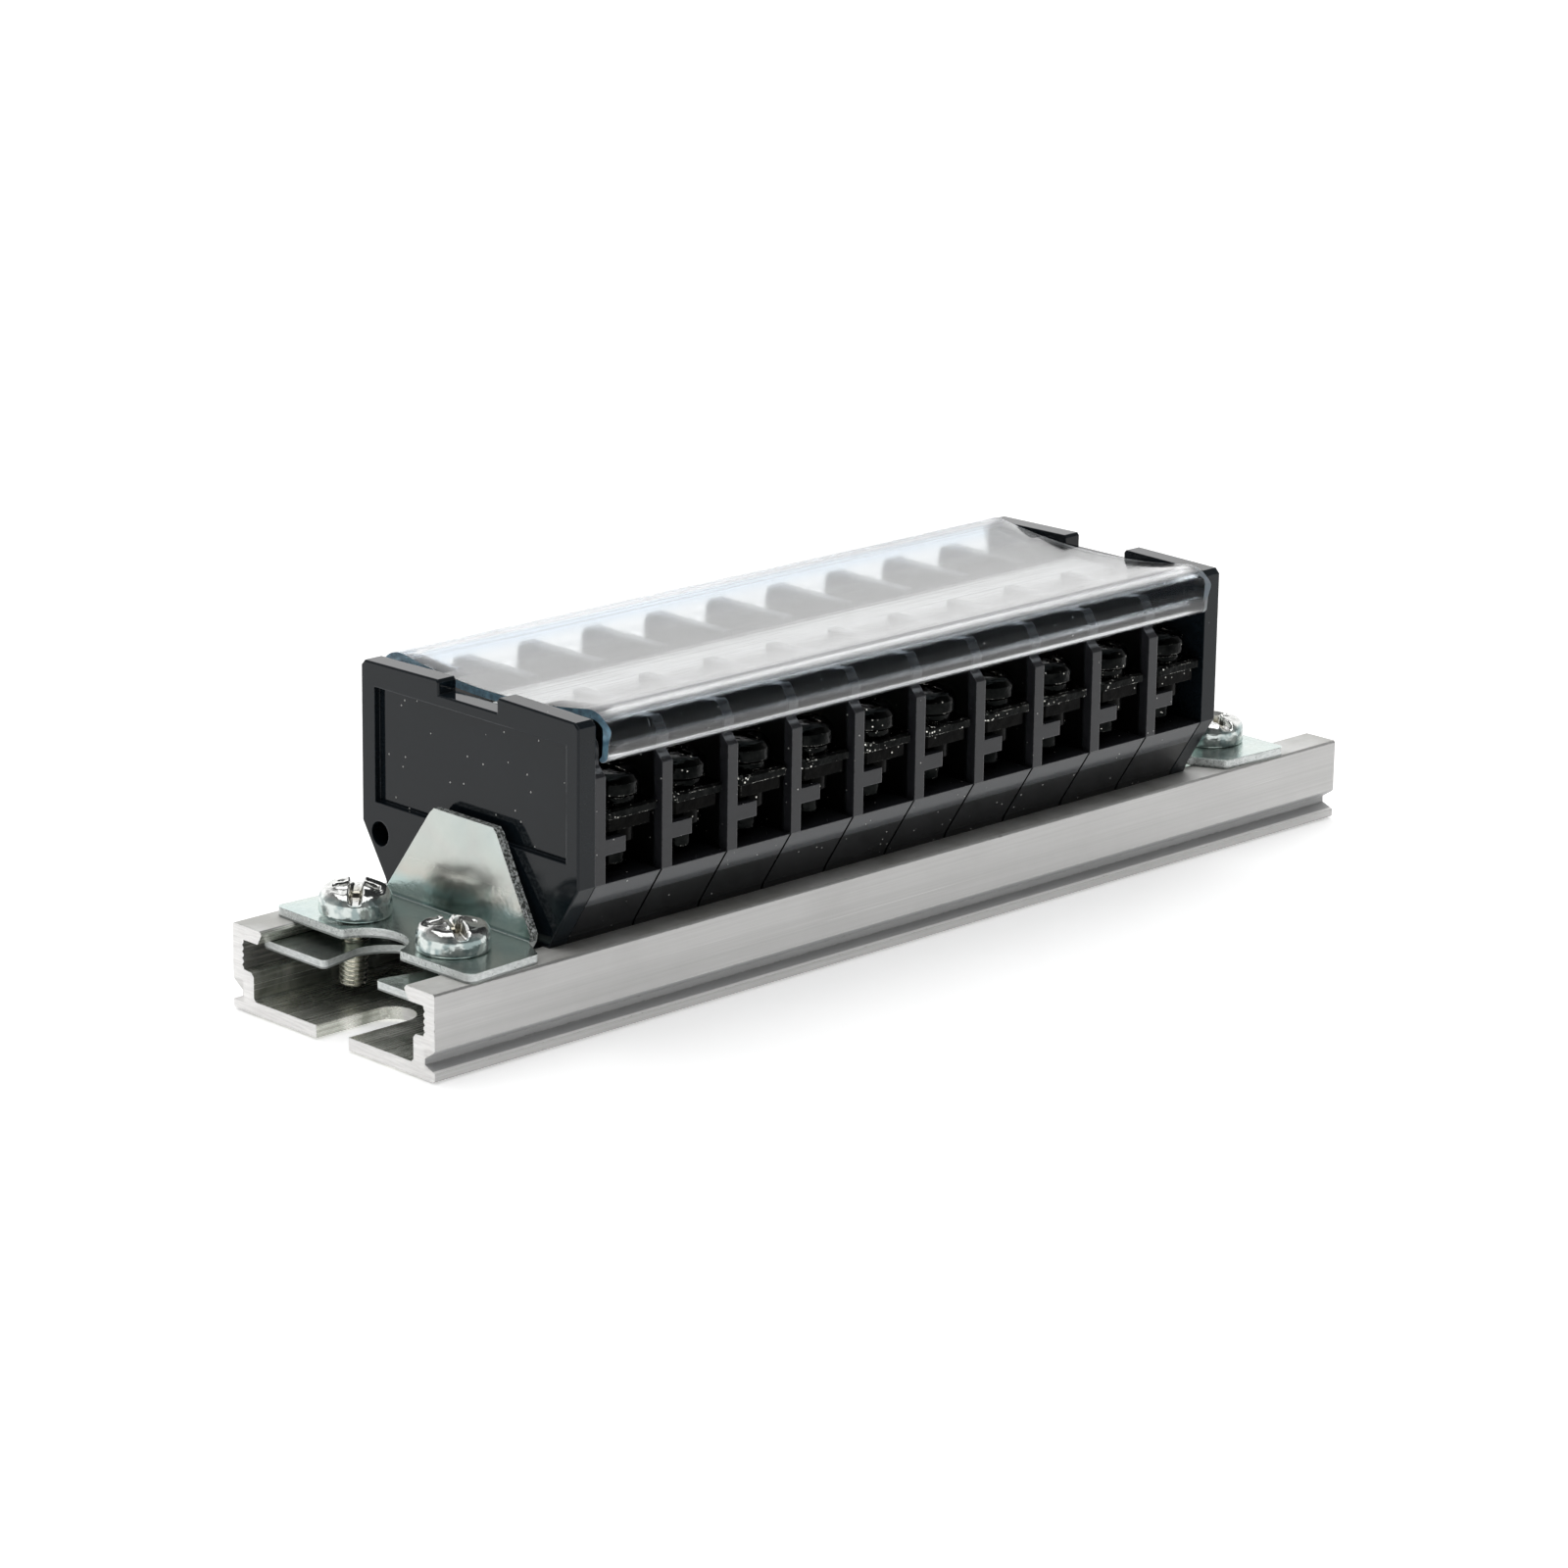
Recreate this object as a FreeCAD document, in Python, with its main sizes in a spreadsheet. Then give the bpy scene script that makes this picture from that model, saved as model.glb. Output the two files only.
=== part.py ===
# Rail-mounted ten-pole barrier terminal block: ten black moulded housings between two
# end plates on a short aluminium C-rail, end brackets screwed to clamp plates at both
# ends, a clear snap-on cover and a white marker strip.
# Millimetres. Origin: middle of the rail's underside. +X along the rail, -Y is the
# front row of terminals, +Z up.
import FreeCAD, Part
import math
import os
import Sketcher
from FreeCAD import Vector, Rotation, Placement

doc = FreeCAD.newDocument("terminal_block")
sheet = doc.addObject("Spreadsheet::Sheet", "Dims")

# ---------------------------------------------------------------- driving dimensions
DIMS = [
    ("poles", 10), ("pitch", 9.0), ("block_start", -47.16),
    ("rail_len", 134.46), ("rail_half", 15.5), ("rail_top", 9.0), ("web", 1.35),
    ("lip_under", 7.5), ("lip_tip", 11.25), ("wall_in", 13.85), ("ledge_in", 12.3),
    ("ledge_top", 4.4), ("groove_low", 1.5), ("groove_high", 2.15), ("groove_in", 14.05),
    ("foot_plate", 0.92), ("slot_wide", 5.0), ("slot_deep", 10.2),
    ("half", 16.45), ("band_top", 15.95), ("band_foot", 12.2),
    ("neck_half", 10.6), ("foot_half", 12.3), ("foot_top", 7.35), ("foot_bot", 6.45),
    ("wall_thick", 1.35), ("strip_top", 27.0), ("nose_low", 28.05), ("nose_half", 15.42),
    ("part_top", 31.0), ("part_round", 1.4), ("channel_half", 3.3), ("ridge_top", 29.2),
    ("ridge_half", 4.3), ("core_half", 8.7), ("core_top", 25.0),
    ("tab_len", 2.7), ("tab_low", 18.85), ("tab_high", 20.45), ("tab_deep", 1.1),
    ("dowel_y", 13.6), ("dowel_z", 15.05), ("dowel_dia", 2.0), ("dowel_hole", 2.65),
    ("bar_low", 20.9), ("bar_thick", 1.4), ("bar_wide", 6.6), ("bar_half_len", 15.8),
    ("bar_centre", 5.175), ("screw_y", 12.8), ("screw_rad", 1.74), ("screw_tap", 1.80),
    ("plate_thick", 2.28), ("plate_top", 33.0), ("plate_rise", 0.2), ("notch_half", 4.4),
    ("notch_floor", 31.65), ("label_low", 18.3), ("label_high", 30.5), ("label_left", 14.35),
    ("label_right", 14.7), ("label_deep", 0.7),
    ("cover_len", 88.6), ("cover_mid", -1.66), ("cover_thick", 0.9), ("cover_valley", 32.2),
    ("dish_end_y", 13.82), ("dish_end_z", 33.39), ("seam_gap", 0.12),
    ("marker_wide", 6.2), ("marker_thick", 0.9), ("marker_len", 89.6),
    ("sheet_thick", 1.0), ("bracket_shift", -0.6), ("bracket_out", -62.8),
    ("bracket_half", 15.0), ("bracket_back_half", 14.4), ("bracket_shoulder", -53.4),
    ("flange_low_half", 11.0), ("flange_top_half", 5.1), ("flange_top", 20.1),
    ("flange_foot_x", -51.4), ("flange_head_x", -50.55), ("mouth_half", 4.38), ("mouth_deep", 3.65),
    ("mouth_rad", 4.45),
    ("fix_x", -58.4), ("fix_y", 7.5), ("fix_rad", 1.5), ("fix_clear", 1.7), ("fix_len", 7.8), ("fix_head", 3.1),
    ("clamp_thick", 0.9), ("clamp_top", 7.44), ("clamp_out", -65.5), ("clamp_in", -53.6),
    ("clamp_half", 13.4), ("clamp_mouth", 3.95), ("clamp_mouth_rad", 4.9), ("clamp_mouth_x", -60.6),
]
for row, (alias, value) in enumerate(DIMS, start=1):
    sheet.set("A%d" % row, alias)
    sheet.set("B%d" % row, repr(float(value)))
    sheet.setAlias("B%d" % row, alias)
doc.recompute()


class Dim:
    """A length with the sheet formula it comes from."""

    def __init__(self, value, text):
        self.value = float(value)
        self.text = text

    @staticmethod
    def of(other):
        if isinstance(other, Dim):
            return other
        return Dim(other, "(%r)" % float(other))

    def join(self, other, sign, value):
        other = Dim.of(other)
        return Dim(value(self.value, other.value), "(%s %s %s)" % (self.text, sign, other.text))

    def __add__(self, other):
        return self.join(other, "+", lambda a, b: a + b)

    def __sub__(self, other):
        return self.join(other, "-", lambda a, b: a - b)

    def __mul__(self, other):
        return self.join(other, "*", lambda a, b: a * b)

    def __truediv__(self, other):
        return self.join(other, "/", lambda a, b: a / b)

    def __radd__(self, other):
        return Dim.of(other) + self

    def __rsub__(self, other):
        return Dim.of(other) - self

    def __rmul__(self, other):
        return Dim.of(other) * self

    def __neg__(self):
        return Dim(-self.value, "(0 - %s)" % self.text)


D = {}
for alias, value in DIMS:
    D[alias] = Dim(value, "Dims.%s" % alias)


def num(q):
    return q.value if isinstance(q, Dim) else float(q)


def bind(obj, prop, q):
    """Bind one property to the sheet."""
    if isinstance(q, Dim):
        obj.setExpression(prop, q.text)


def body_named(label):
    b = doc.addObject("PartDesign::Body", label)
    b.Label = label
    return b


def place(obj, x=0.0, y=0.0, z=0.0, rot=None):
    obj.Placement = Placement(Vector(num(x), num(y), num(z)), rot or Rotation())
    bind(obj, "Placement.Base.x", x)
    bind(obj, "Placement.Base.y", y)
    bind(obj, "Placement.Base.z", z)


def plane_of(body, role):
    for feature in body.Origin.OriginFeatures:
        if feature.Role == role:
            return feature
    raise RuntimeError("no plane " + role)


def sketch_on(body, role, name, offset=0.0):
    sk = body.newObject("Sketcher::SketchObject", name)
    sk.AttachmentSupport = [(plane_of(body, role), "")]
    sk.MapMode = "FlatFace"
    if num(offset) != 0.0:
        sk.AttachmentOffset = Placement(Vector(0, 0, num(offset)), Rotation())
        bind(sk, "AttachmentOffset.Base.z", offset)
    return sk


def pin_point(sk, geo, pos, x, y):
    """Fix a sketch point by its two distances from the sketch origin."""
    for axis, value in (("X", x), ("Y", y)):
        if abs(num(value)) < 1e-9:
            sk.addConstraint(Sketcher.Constraint("PointOnObject", geo, pos, -2 if axis == "X" else -1))
            continue
        i = sk.addConstraint(Sketcher.Constraint("Distance" + axis, -1, 1, geo, pos, num(value)))
        if isinstance(value, Dim):
            sk.setExpression("Constraints[%d]" % i, value.text)


def outline(sk, points):
    """Closed outline. Each entry is (x, y), or (x, y, radius, side) where the run that
    leaves the point is an arc of that radius; side 1 bulges to the left of the run."""
    n = len(points)
    first = sk.GeometryCount
    ends = []
    for i in range(n):
        a, b = points[i], points[(i + 1) % n]
        pa = Vector(num(a[0]), num(a[1]), 0)
        pb = Vector(num(b[0]), num(b[1]), 0)
        if len(a) == 2:
            sk.addGeometry(Part.LineSegment(pa, pb), False)
            ends.append((1, 2))
            continue
        rad, side = num(a[2]), a[3]
        chord = pb - pa
        half = chord.Length / 2.0
        left = Vector(-chord.y, chord.x, 0).normalize()
        rise = rad - math.sqrt(max(rad * rad - half * half, 0.0))
        mid = (pa + pb) * 0.5 + left * (rise * side)
        # an arc is always drawn anticlockwise
        if side < 0:
            sk.addGeometry(Part.ArcOfCircle(pa, mid, pb), False)
            ends.append((1, 2))
        else:
            sk.addGeometry(Part.ArcOfCircle(pb, mid, pa), False)
            ends.append((2, 1))
    for i in range(n):
        j = (i + 1) % n
        sk.addConstraint(Sketcher.Constraint("Coincident", first + i, ends[i][1], first + j, ends[j][0]))
    for i in range(n):
        pin_point(sk, first + i, ends[i][0], points[i][0], points[i][1])
        if len(points[i]) == 4:
            k = sk.addConstraint(Sketcher.Constraint("Radius", first + i, num(points[i][2])))
            if isinstance(points[i][2], Dim):
                sk.setExpression("Constraints[%d]" % k, points[i][2].text)


def box_outline(sk, x0, x1, y0, y1):
    outline(sk, [(x0, y0), (x1, y0), (x1, y1), (x0, y1)])


def circle(sk, x, y, rad):
    geo = sk.addGeometry(Part.Circle(Vector(num(x), num(y), 0), Vector(0, 0, 1), num(rad)), False)
    pin_point(sk, geo, 3, x, y)
    k = sk.addConstraint(Sketcher.Constraint("Radius", geo, num(rad)))
    if isinstance(rad, Dim):
        sk.setExpression("Constraints[%d]" % k, rad.text)


def pad(body, sk, length, name, reverse=False, middle=False):
    p = body.newObject("PartDesign::Pad", name)
    p.Profile = sk
    p.Length = num(length)
    bind(p, "Length", length)
    p.Reversed = reverse
    if middle:
        p.SideType = "Symmetric"
    sk.Visibility = False
    return p


def pocket(body, sk, length, name, reverse=False, through=False, middle=False):
    p = body.newObject("PartDesign::Pocket", name)
    p.Profile = sk
    if through:
        p.Type = "ThroughAll"
    else:
        p.Length = num(length)
        bind(p, "Length", length)
    p.Reversed = reverse
    if middle:
        p.SideType = "Symmetric"
    sk.Visibility = False
    return p


def recut(body, feature, less=True):
    """Recompute and make sure that the feature took material away (or added it)."""
    before = feature.BaseFeature.Shape.Volume if feature.BaseFeature else 0.0
    doc.recompute()
    after = feature.Shape.Volume
    if less and not after < before - 1e-6:
        raise RuntimeError("%s in %s cuts nothing" % (feature.Name, body.Label))
    return feature


def edges_where(feature, test):
    names = []
    for i, edge in enumerate(feature.Shape.Edges, start=1):
        if test(edge):
            names.append("Edge%d" % i)
    return names


def dress(body, base, kind, names, size, name):
    """Fillet or Chamfer on named edges of the last feature."""
    f = body.newObject("PartDesign::" + kind, name)
    f.Base = (base, names)
    prop = "Radius" if kind == "Fillet" else "Size"
    setattr(f, prop, num(size))
    bind(f, prop, size)
    doc.recompute()
    return f


def along(edge, axis):
    """True for a straight edge that runs along one axis."""
    if not isinstance(edge.Curve, Part.Line):
        return False
    d = edge.Vertexes[-1].Point - edge.Vertexes[0].Point
    parts = [abs(d.x), abs(d.y), abs(d.z)]
    i = "xyz".index(axis)
    return parts[i] > 1e-6 and sum(parts) - parts[i] < 1e-6


PARTS = []

# ------------------------------------------------------------------------- the rail
# Extruded C-section: bottom flange, side grooves, toothed inner walls and two lips.
rail = body_named("rail")
sk = sketch_on(rail, "YZ_Plane", "rail_section")
H, TOP = D["rail_half"], D["rail_top"]
right_side = [
    (H - 0.18, 0.0), (H, 0.18), (H, D["foot_plate"]), (D["groove_in"], D["groove_low"]),
    (D["groove_in"], D["groove_high"]), (H - 0.16, D["groove_high"] + 0.86), (H, D["groove_high"] + 1.04),
    (H, TOP - 0.2), (H - 0.2, TOP), (D["lip_tip"] + 0.05, TOP), (D["lip_tip"] - 0.28, TOP - 0.36),
    (D["lip_tip"] + 0.38, D["lip_under"]), (D["wall_in"], D["lip_under"]),
]
teeth = []
for k in range(4):
    z0 = 7.2 - 0.7 * k
    teeth += [(D["wall_in"], z0), (D["wall_in"] + 0.22, z0 - 0.25), (D["wall_in"], z0 - 0.5)]
right_side += teeth
right_side += [(D["wall_in"], D["ledge_top"]), (D["ledge_in"] + 0.35, D["ledge_top"] - 0.1),
               (D["ledge_in"], D["ledge_top"] - 0.5), (D["ledge_in"], D["web"] + 0.3), (D["ledge_in"] - 0.3, D["web"])]
left_side = [(-p[0], p[1]) for p in reversed(right_side)]
outline(sk, right_side + left_side)
rail_pad = pad(rail, sk, D["rail_len"], "rail_body", middle=True)
doc.recompute()
# Open-ended fixing slots through the web at both ends.
sk = sketch_on(rail, "XY_Plane", "slot_plan")
E = D["rail_len"] / 2.0
W = D["slot_wide"] / 2.0
for s in (-1.0, 1.0):
    tip = s * (E - D["slot_deep"] + W)
    end = s * (E + 1.0)
    if s < 0:
        outline(sk, [(end, -W), (tip, -W, W, -1), (tip + W, 0.0, W, -1), (tip, W), (end, W)])
    else:
        outline(sk, [(end, W), (tip, W, W, -1), (tip - W, 0.0, W, -1), (tip, -W), (end, -W)])
rail_slots = pocket(rail, sk, D["web"] + 0.4, "end_slots", reverse=True)
recut(rail, rail_slots)
PARTS.append(rail)


# ------------------------------------------------------------------ module housings
def side_profile(top):
    """Half outline from the rail foot up the front of a housing or end plate."""
    return [
        (D["foot_half"] - 0.5, D["foot_bot"]), (D["foot_half"], D["foot_bot"] + 0.35),
        (D["foot_half"], D["foot_top"]), (D["neck_half"], D["foot_top"]), (D["neck_half"], TOP),
        (D["band_foot"], TOP), (D["band_foot"] + 0.3, TOP + 0.75), (D["half"], D["band_top"]),
    ] + top


def mirrored(points):
    """The other half: the same outline run back down the -Y side. An arc's radius
    belongs to the point it leaves, so it moves one point along."""
    out = []
    n = len(points)
    for i in range(n - 1, -1, -1):
        p = points[i]
        q = points[i - 1] if i > 0 else None
        if q is not None and len(q) == 4:
            out.append((-p[0], p[1], q[2], q[3]))
        else:
            out.append((-p[0], p[1]))
    return out


R1 = D["part_round"]
for k in range(int(num(D["poles"]))):
    name = "module_housing_%02d" % (k + 1)
    b = body_named(name)
    place(b, x=D["block_start"] + float(k) * D["pitch"])
    # partition wall on the -X side
    sk = sketch_on(b, "YZ_Plane", name + "_wall_outline")
    half = side_profile([
        (D["half"], D["strip_top"]), (D["nose_half"], D["nose_low"]),
        (D["nose_half"], D["part_top"] - R1, R1, -1), (D["nose_half"] - R1, D["part_top"]),
        (D["channel_half"], D["part_top"]), (D["channel_half"], D["ridge_top"]),
    ])
    outline(sk, half + mirrored(half))
    wall = pad(b, sk, D["wall_thick"], name + "_wall")
    # base and middle block
    sk = sketch_on(b, "YZ_Plane", name + "_core_outline", D["wall_thick"])
    half = side_profile([
        (D["core_half"], D["band_top"]), (D["core_half"], D["core_top"]),
        (D["ridge_half"], D["core_top"]), (D["ridge_half"], D["ridge_top"]),
    ])
    outline(sk, half + mirrored(half))
    core = pad(b, sk, D["pitch"] - D["wall_thick"] - D["seam_gap"], name + "_core")
    # raised land that meets the next wall and leaves a fine seam round it
    sk = sketch_on(b, "YZ_Plane", name + "_land_circle", D["pitch"] - D["seam_gap"] - 0.5)
    circle(sk, 0.0, 15.5, 3.2)
    land = pad(b, sk, D["seam_gap"] + 0.5, name + "_land")
    # wire stops beside the front and back openings
    sk = sketch_on(b, "YZ_Plane", name + "_tab_outline", D["wall_thick"])
    box_outline(sk, D["half"] - D["tab_deep"], D["half"], D["tab_low"], D["tab_high"])
    box_outline(sk, -D["half"], D["tab_deep"] - D["half"], D["tab_low"], D["tab_high"])
    tabs = pad(b, sk, D["tab_len"], name + "_tabs")
    # dowel on the +X face that registers in the next wall
    sk = sketch_on(b, "YZ_Plane", name + "_dowel_circle", D["pitch"] - 1.0)
    circle(sk, D["dowel_y"], D["dowel_z"], D["dowel_dia"] / 2.0)
    dowel = pad(b, sk, 2.0, name + "_dowel")
    doc.recompute()
    # slot for the conductor bar through the middle block
    sk = sketch_on(b, "YZ_Plane", name + "_bar_slot", D["bar_centre"] - D["bar_wide"] / 2.0 - 0.1)
    box_outline(sk, -(D["core_half"] + 0.1), D["core_half"] + 0.1, D["bar_low"] - 0.05, D["bar_low"] + D["bar_thick"] + 0.05)
    slot = pocket(b, sk, D["pitch"], name + "_slot", reverse=True)
    recut(b, slot)
    # dowel seat in the outer face of the wall
    sk = sketch_on(b, "YZ_Plane", name + "_seat_circle")
    circle(sk, D["dowel_y"], D["dowel_z"], D["dowel_hole"] / 2.0)
    seat = pocket(b, sk, 1.15, name + "_seat", reverse=True)
    recut(b, seat)
    PARTS.append(b)

# ------------------------------------------------------------------- conductor bars
for k in range(int(num(D["poles"]))):
    name = "conductor_bar_%02d" % (k + 1)
    b = body_named(name)
    place(b, x=D["block_start"] + float(k) * D["pitch"] + D["bar_centre"], z=D["bar_low"])
    sk = sketch_on(b, "XY_Plane", name + "_plan")
    BW = D["bar_wide"] / 2.0
    BL = D["bar_half_len"]
    outline(sk, [(-BW, -BL + 0.6), (-BW + 0.6, -BL), (BW - 0.6, -BL), (BW, -BL + 0.6),
                 (BW, BL - 0.6), (BW - 0.6, BL), (-BW + 0.6, BL), (-BW, BL - 0.6)])
    pad(b, sk, D["bar_thick"], name + "_strip")
    # drawn collars under the strip give the thread its length
    sk = sketch_on(b, "XY_Plane", name + "_collars")
    circle(sk, 0.0, D["screw_y"], 2.6)
    circle(sk, 0.0, -D["screw_y"], 2.6)
    pad(b, sk, 1.5, name + "_collar_pads", reverse=True)
    sk = sketch_on(b, "XY_Plane", name + "_tapped", 3.0)
    circle(sk, 0.0, D["screw_y"], D["screw_tap"])
    circle(sk, 0.0, -D["screw_y"], D["screw_tap"])
    doc.recompute()
    holes = pocket(b, sk, 6.0, name + "_holes")
    recut(b, holes)
    PARTS.append(b)


# --------------------------------------------------------- screws with captive washers
def recess(b, base_name, z_top, cross, wide, deep, slot_len):
    """Combined slot and cross recess in a head."""
    sk = sketch_on(b, "XY_Plane", base_name + "_slot_plan", z_top + 1.0)
    box_outline(sk, -slot_len, slot_len, -wide / 2.0, wide / 2.0)
    doc.recompute()
    p = pocket(b, sk, deep + 1.0, base_name + "_slot_cut")
    recut(b, p)
    sk = sketch_on(b, "XY_Plane", base_name + "_cross_plan", z_top + 1.0)
    box_outline(sk, -wide / 2.0, wide / 2.0, -cross, cross)
    p = pocket(b, sk, deep + 1.25, base_name + "_cross_cut")
    recut(b, p)


# Terminal screw, origin at the underside of its square washer.
def terminal_screw(name, x, y):
    shaft = body_named(name + "_screw")
    sk = sketch_on(shaft, "XZ_Plane", name + "_half_section")
    r = D["screw_rad"]
    outline(sk, [
        (0.0, -5.8), (r - 0.4, -5.8), (r, -5.4), (r, 1.72), (2.95, 1.72), (3.1, 1.95),
        (3.1, 3.1, 1.6, -1), (2.35, 4.05, 14.0, -1), (0.0, 4.25),
    ])
    rev = shaft.newObject("PartDesign::Revolution", name + "_turned")
    rev.Profile = sk
    rev.ReferenceAxis = (sk, ["V_Axis"])
    rev.Angle = 360.0
    sk.Visibility = False
    doc.recompute()
    recess(shaft, name, 4.25, 2.0, 0.85, 1.15, 3.4)
    # split spring washer
    spring = body_named(name + "_spring")
    sk = sketch_on(spring, "XY_Plane", name + "_spring_ring", 1.02)
    circle(sk, 0.0, 0.0, 2.8)
    circle(sk, 0.0, 0.0, r + 0.14)
    pad(spring, sk, 0.68, name + "_spring_coil")
    sk = sketch_on(spring, "XY_Plane", name + "_spring_gap", 0.9)
    box_outline(sk, 1.2, 3.4, -0.2, 0.2)
    doc.recompute()
    p = pocket(spring, sk, 1.0, name + "_spring_split", reverse=True)
    recut(spring, p)
    # square plate washer with clipped corners
    plate = body_named(name + "_plate")
    sk = sketch_on(plate, "XY_Plane", name + "_plate_plan")
    a = 3.55
    outline(sk, [(-a, -a + 0.5), (-a + 0.5, -a), (a - 0.5, -a), (a, -a + 0.5),
                 (a, a - 0.5), (a - 0.5, a), (-a + 0.5, a), (-a, a - 0.5)])
    circle(sk, 0.0, 0.0, r + 0.16)
    pad(plate, sk, 0.98, name + "_plate_pad")
    doc.recompute()
    edges = edges_where(plate.Tip, lambda e: e.BoundBox.ZMin > 0.9 and not isinstance(e.Curve, Part.Circle))
    dress(plate, plate.Tip, "Chamfer", edges, 0.25, name + "_plate_edge")
    group = doc.addObject("Part::Compound", name)
    group.Label = name
    group.Links = [shaft, spring, plate]
    place(group, x=x, y=y, z=D["bar_low"] + D["bar_thick"] + 0.05)
    return group


for k in range(int(num(D["poles"]))):
    cx = D["block_start"] + float(k) * D["pitch"] + D["bar_centre"]
    PARTS.append(terminal_screw("terminal_screw_front_%02d" % (k + 1), cx, -D["screw_y"]))
    PARTS.append(terminal_screw("terminal_screw_back_%02d" % (k + 1), cx, D["screw_y"]))


# ------------------------------------------------------------------------ end plates
def end_plate(name, x, outer_low):
    b = body_named(name)
    place(b, x=x)
    sk = sketch_on(b, "YZ_Plane", name + "_outline")
    half = side_profile([
        (D["half"], D["plate_top"] - 0.55), (D["half"] - 0.55, D["plate_top"]),
        (D["notch_half"] + 0.25, D["plate_top"] + D["plate_rise"]), (D["notch_half"], D["plate_top"] - 0.1),
        (D["notch_half"], D["notch_floor"]),
    ])
    outline(sk, half + mirrored(half))
    pad(b, sk, D["plate_thick"], name + "_plate")
    # register hole for the dowels, on the back side only
    sk = sketch_on(b, "YZ_Plane", name + "_hole_circle", -1.0)
    circle(sk, D["dowel_y"], D["dowel_z"], D["dowel_hole"] / 2.0)
    doc.recompute()
    p = pocket(b, sk, D["plate_thick"] + 2.0, name + "_hole", reverse=True)
    recut(b, p)
    # shallow label panel in the outer face
    if outer_low:
        sk = sketch_on(b, "YZ_Plane", name + "_panel_outline")
        box_outline(sk, -D["label_right"], D["label_left"], D["label_low"], D["label_high"])
        p = pocket(b, sk, D["label_deep"], name + "_panel", reverse=True)
    else:
        sk = sketch_on(b, "YZ_Plane", name + "_panel_outline", D["plate_thick"])
        box_outline(sk, -D["label_right"], D["label_left"], D["label_low"], D["label_high"])
        p = pocket(b, sk, D["label_deep"], name + "_panel")
    recut(b, p)
    # soften the outer rim
    face_x = 0.0 if outer_low else num(D["plate_thick"])

    def rim(e):
        bb = e.BoundBox
        if abs(bb.XMin - face_x) > 1e-4 or abs(bb.XMax - face_x) > 1e-4:
            return False
        inside = bb.ZMin > num(D["label_low"]) - 0.01 and bb.ZMax < num(D["label_high"]) + 0.01 \
            and bb.YMin > -num(D["label_right"]) - 0.01 and bb.YMax < num(D["label_left"]) + 0.01
        return not inside and not isinstance(e.Curve, Part.Circle) and bb.ZMin > num(TOP) + 0.5

    dress(b, p, "Fillet", edges_where(p, rim), 0.22, name + "_soft_rim")
    return b


PARTS.append(end_plate("end_plate_left", D["block_start"] - D["plate_thick"], True))
PARTS.append(end_plate("end_plate_right", D["block_start"] + D["poles"] * D["pitch"], False))

# ----------------------------------------------------------------------------- cover
# Extruded clear section: dished top, rounded shoulders, a finger ridge, side walls and
# inward beads along both lower edges.
cover = body_named("cover")
place(cover, x=D["cover_mid"])
sk = sketch_on(cover, "YZ_Plane", "cover_section")
T = D["cover_thick"]
DY, DZ, VZ = D["dish_end_y"], D["dish_end_z"], D["cover_valley"]
sag = num(DZ) - num(VZ)
dish_r = (num(DY) ** 2 + sag ** 2) / (2.0 * sag)
lean = math.asin(num(DY) / dish_r)
crest = 3.4
fall = math.radians(40.0)
# outer half outline, from the valley outwards
c0 = (num(DY) + crest * math.sin(lean), num(DZ) - crest * math.cos(lean))
p_crest = (c0[0] + crest * math.sin(fall), c0[1] + crest * math.cos(fall))
ridge = (17.25, p_crest[1] - (17.25 - p_crest[0]) * math.tan(fall))
# inner half outline, one thickness in
t = num(T)
in_dish_r = dish_r + t
q_dish = (num(DY) + t * math.sin(lean), num(DZ) - t * math.cos(lean))
in_crest = crest - t
q_crest = (c0[0] + in_crest * math.sin(fall), c0[1] + in_crest * math.cos(fall))
q_valley = num(VZ) - t


def offset_from(q, value):
    """The same number, written as a distance from one sheet length."""
    return q + (value - num(q))


def cover_points():
    # right-hand half outer run, then right-hand inner run, mirrored on the left
    outer = [
        (DY, DZ, crest, 1),
        (offset_from(DY, p_crest[0]), offset_from(DZ, p_crest[1])),
        (offset_from(DY, ridge[0]), offset_from(DZ, ridge[1]), 0.26, 1),
        (offset_from(DY, ridge[0] + 0.1), offset_from(DZ, ridge[1] - 0.42)),
        (17.02, 30.4), (16.95, 29.5), (16.84, 28.9, 0.5, 1), (16.4, 28.45),
        (15.8, 28.3, 0.22, 1), (15.72, 28.66),
        (16.02, 28.98), (16.1, 29.4), (16.1, 30.6), (16.12, 31.4),
        (offset_from(DY, q_crest[0] + 0.08), offset_from(DZ, q_crest[1] - 0.08 * math.tan(fall))),
        (offset_from(DY, q_crest[0]), offset_from(DZ, q_crest[1]), in_crest, -1),
        (offset_from(DY, q_dish[0]), offset_from(DZ, q_dish[1]), in_dish_r, 1),
    ]
    return outer


loop = cover_points()
other = []
for i in range(len(loop) - 1, -1, -1):
    p = loop[i]
    q = loop[i - 1] if i > 0 else None
    if q is not None and len(q) == 4:
        other.append((-p[0], p[1], q[2], q[3]))
    elif q is None:
        other.append((-p[0], p[1], dish_r, -1))
    else:
        other.append((-p[0], p[1]))
# the inner dish arc leaves the last right-hand point and ends on its mirror image; the
# outer dish arc closes the loop
outline(sk, loop + other)
pad(cover, sk, D["cover_len"], "cover_extrusion", middle=True)
doc.recompute()
PARTS.append(cover)

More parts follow.
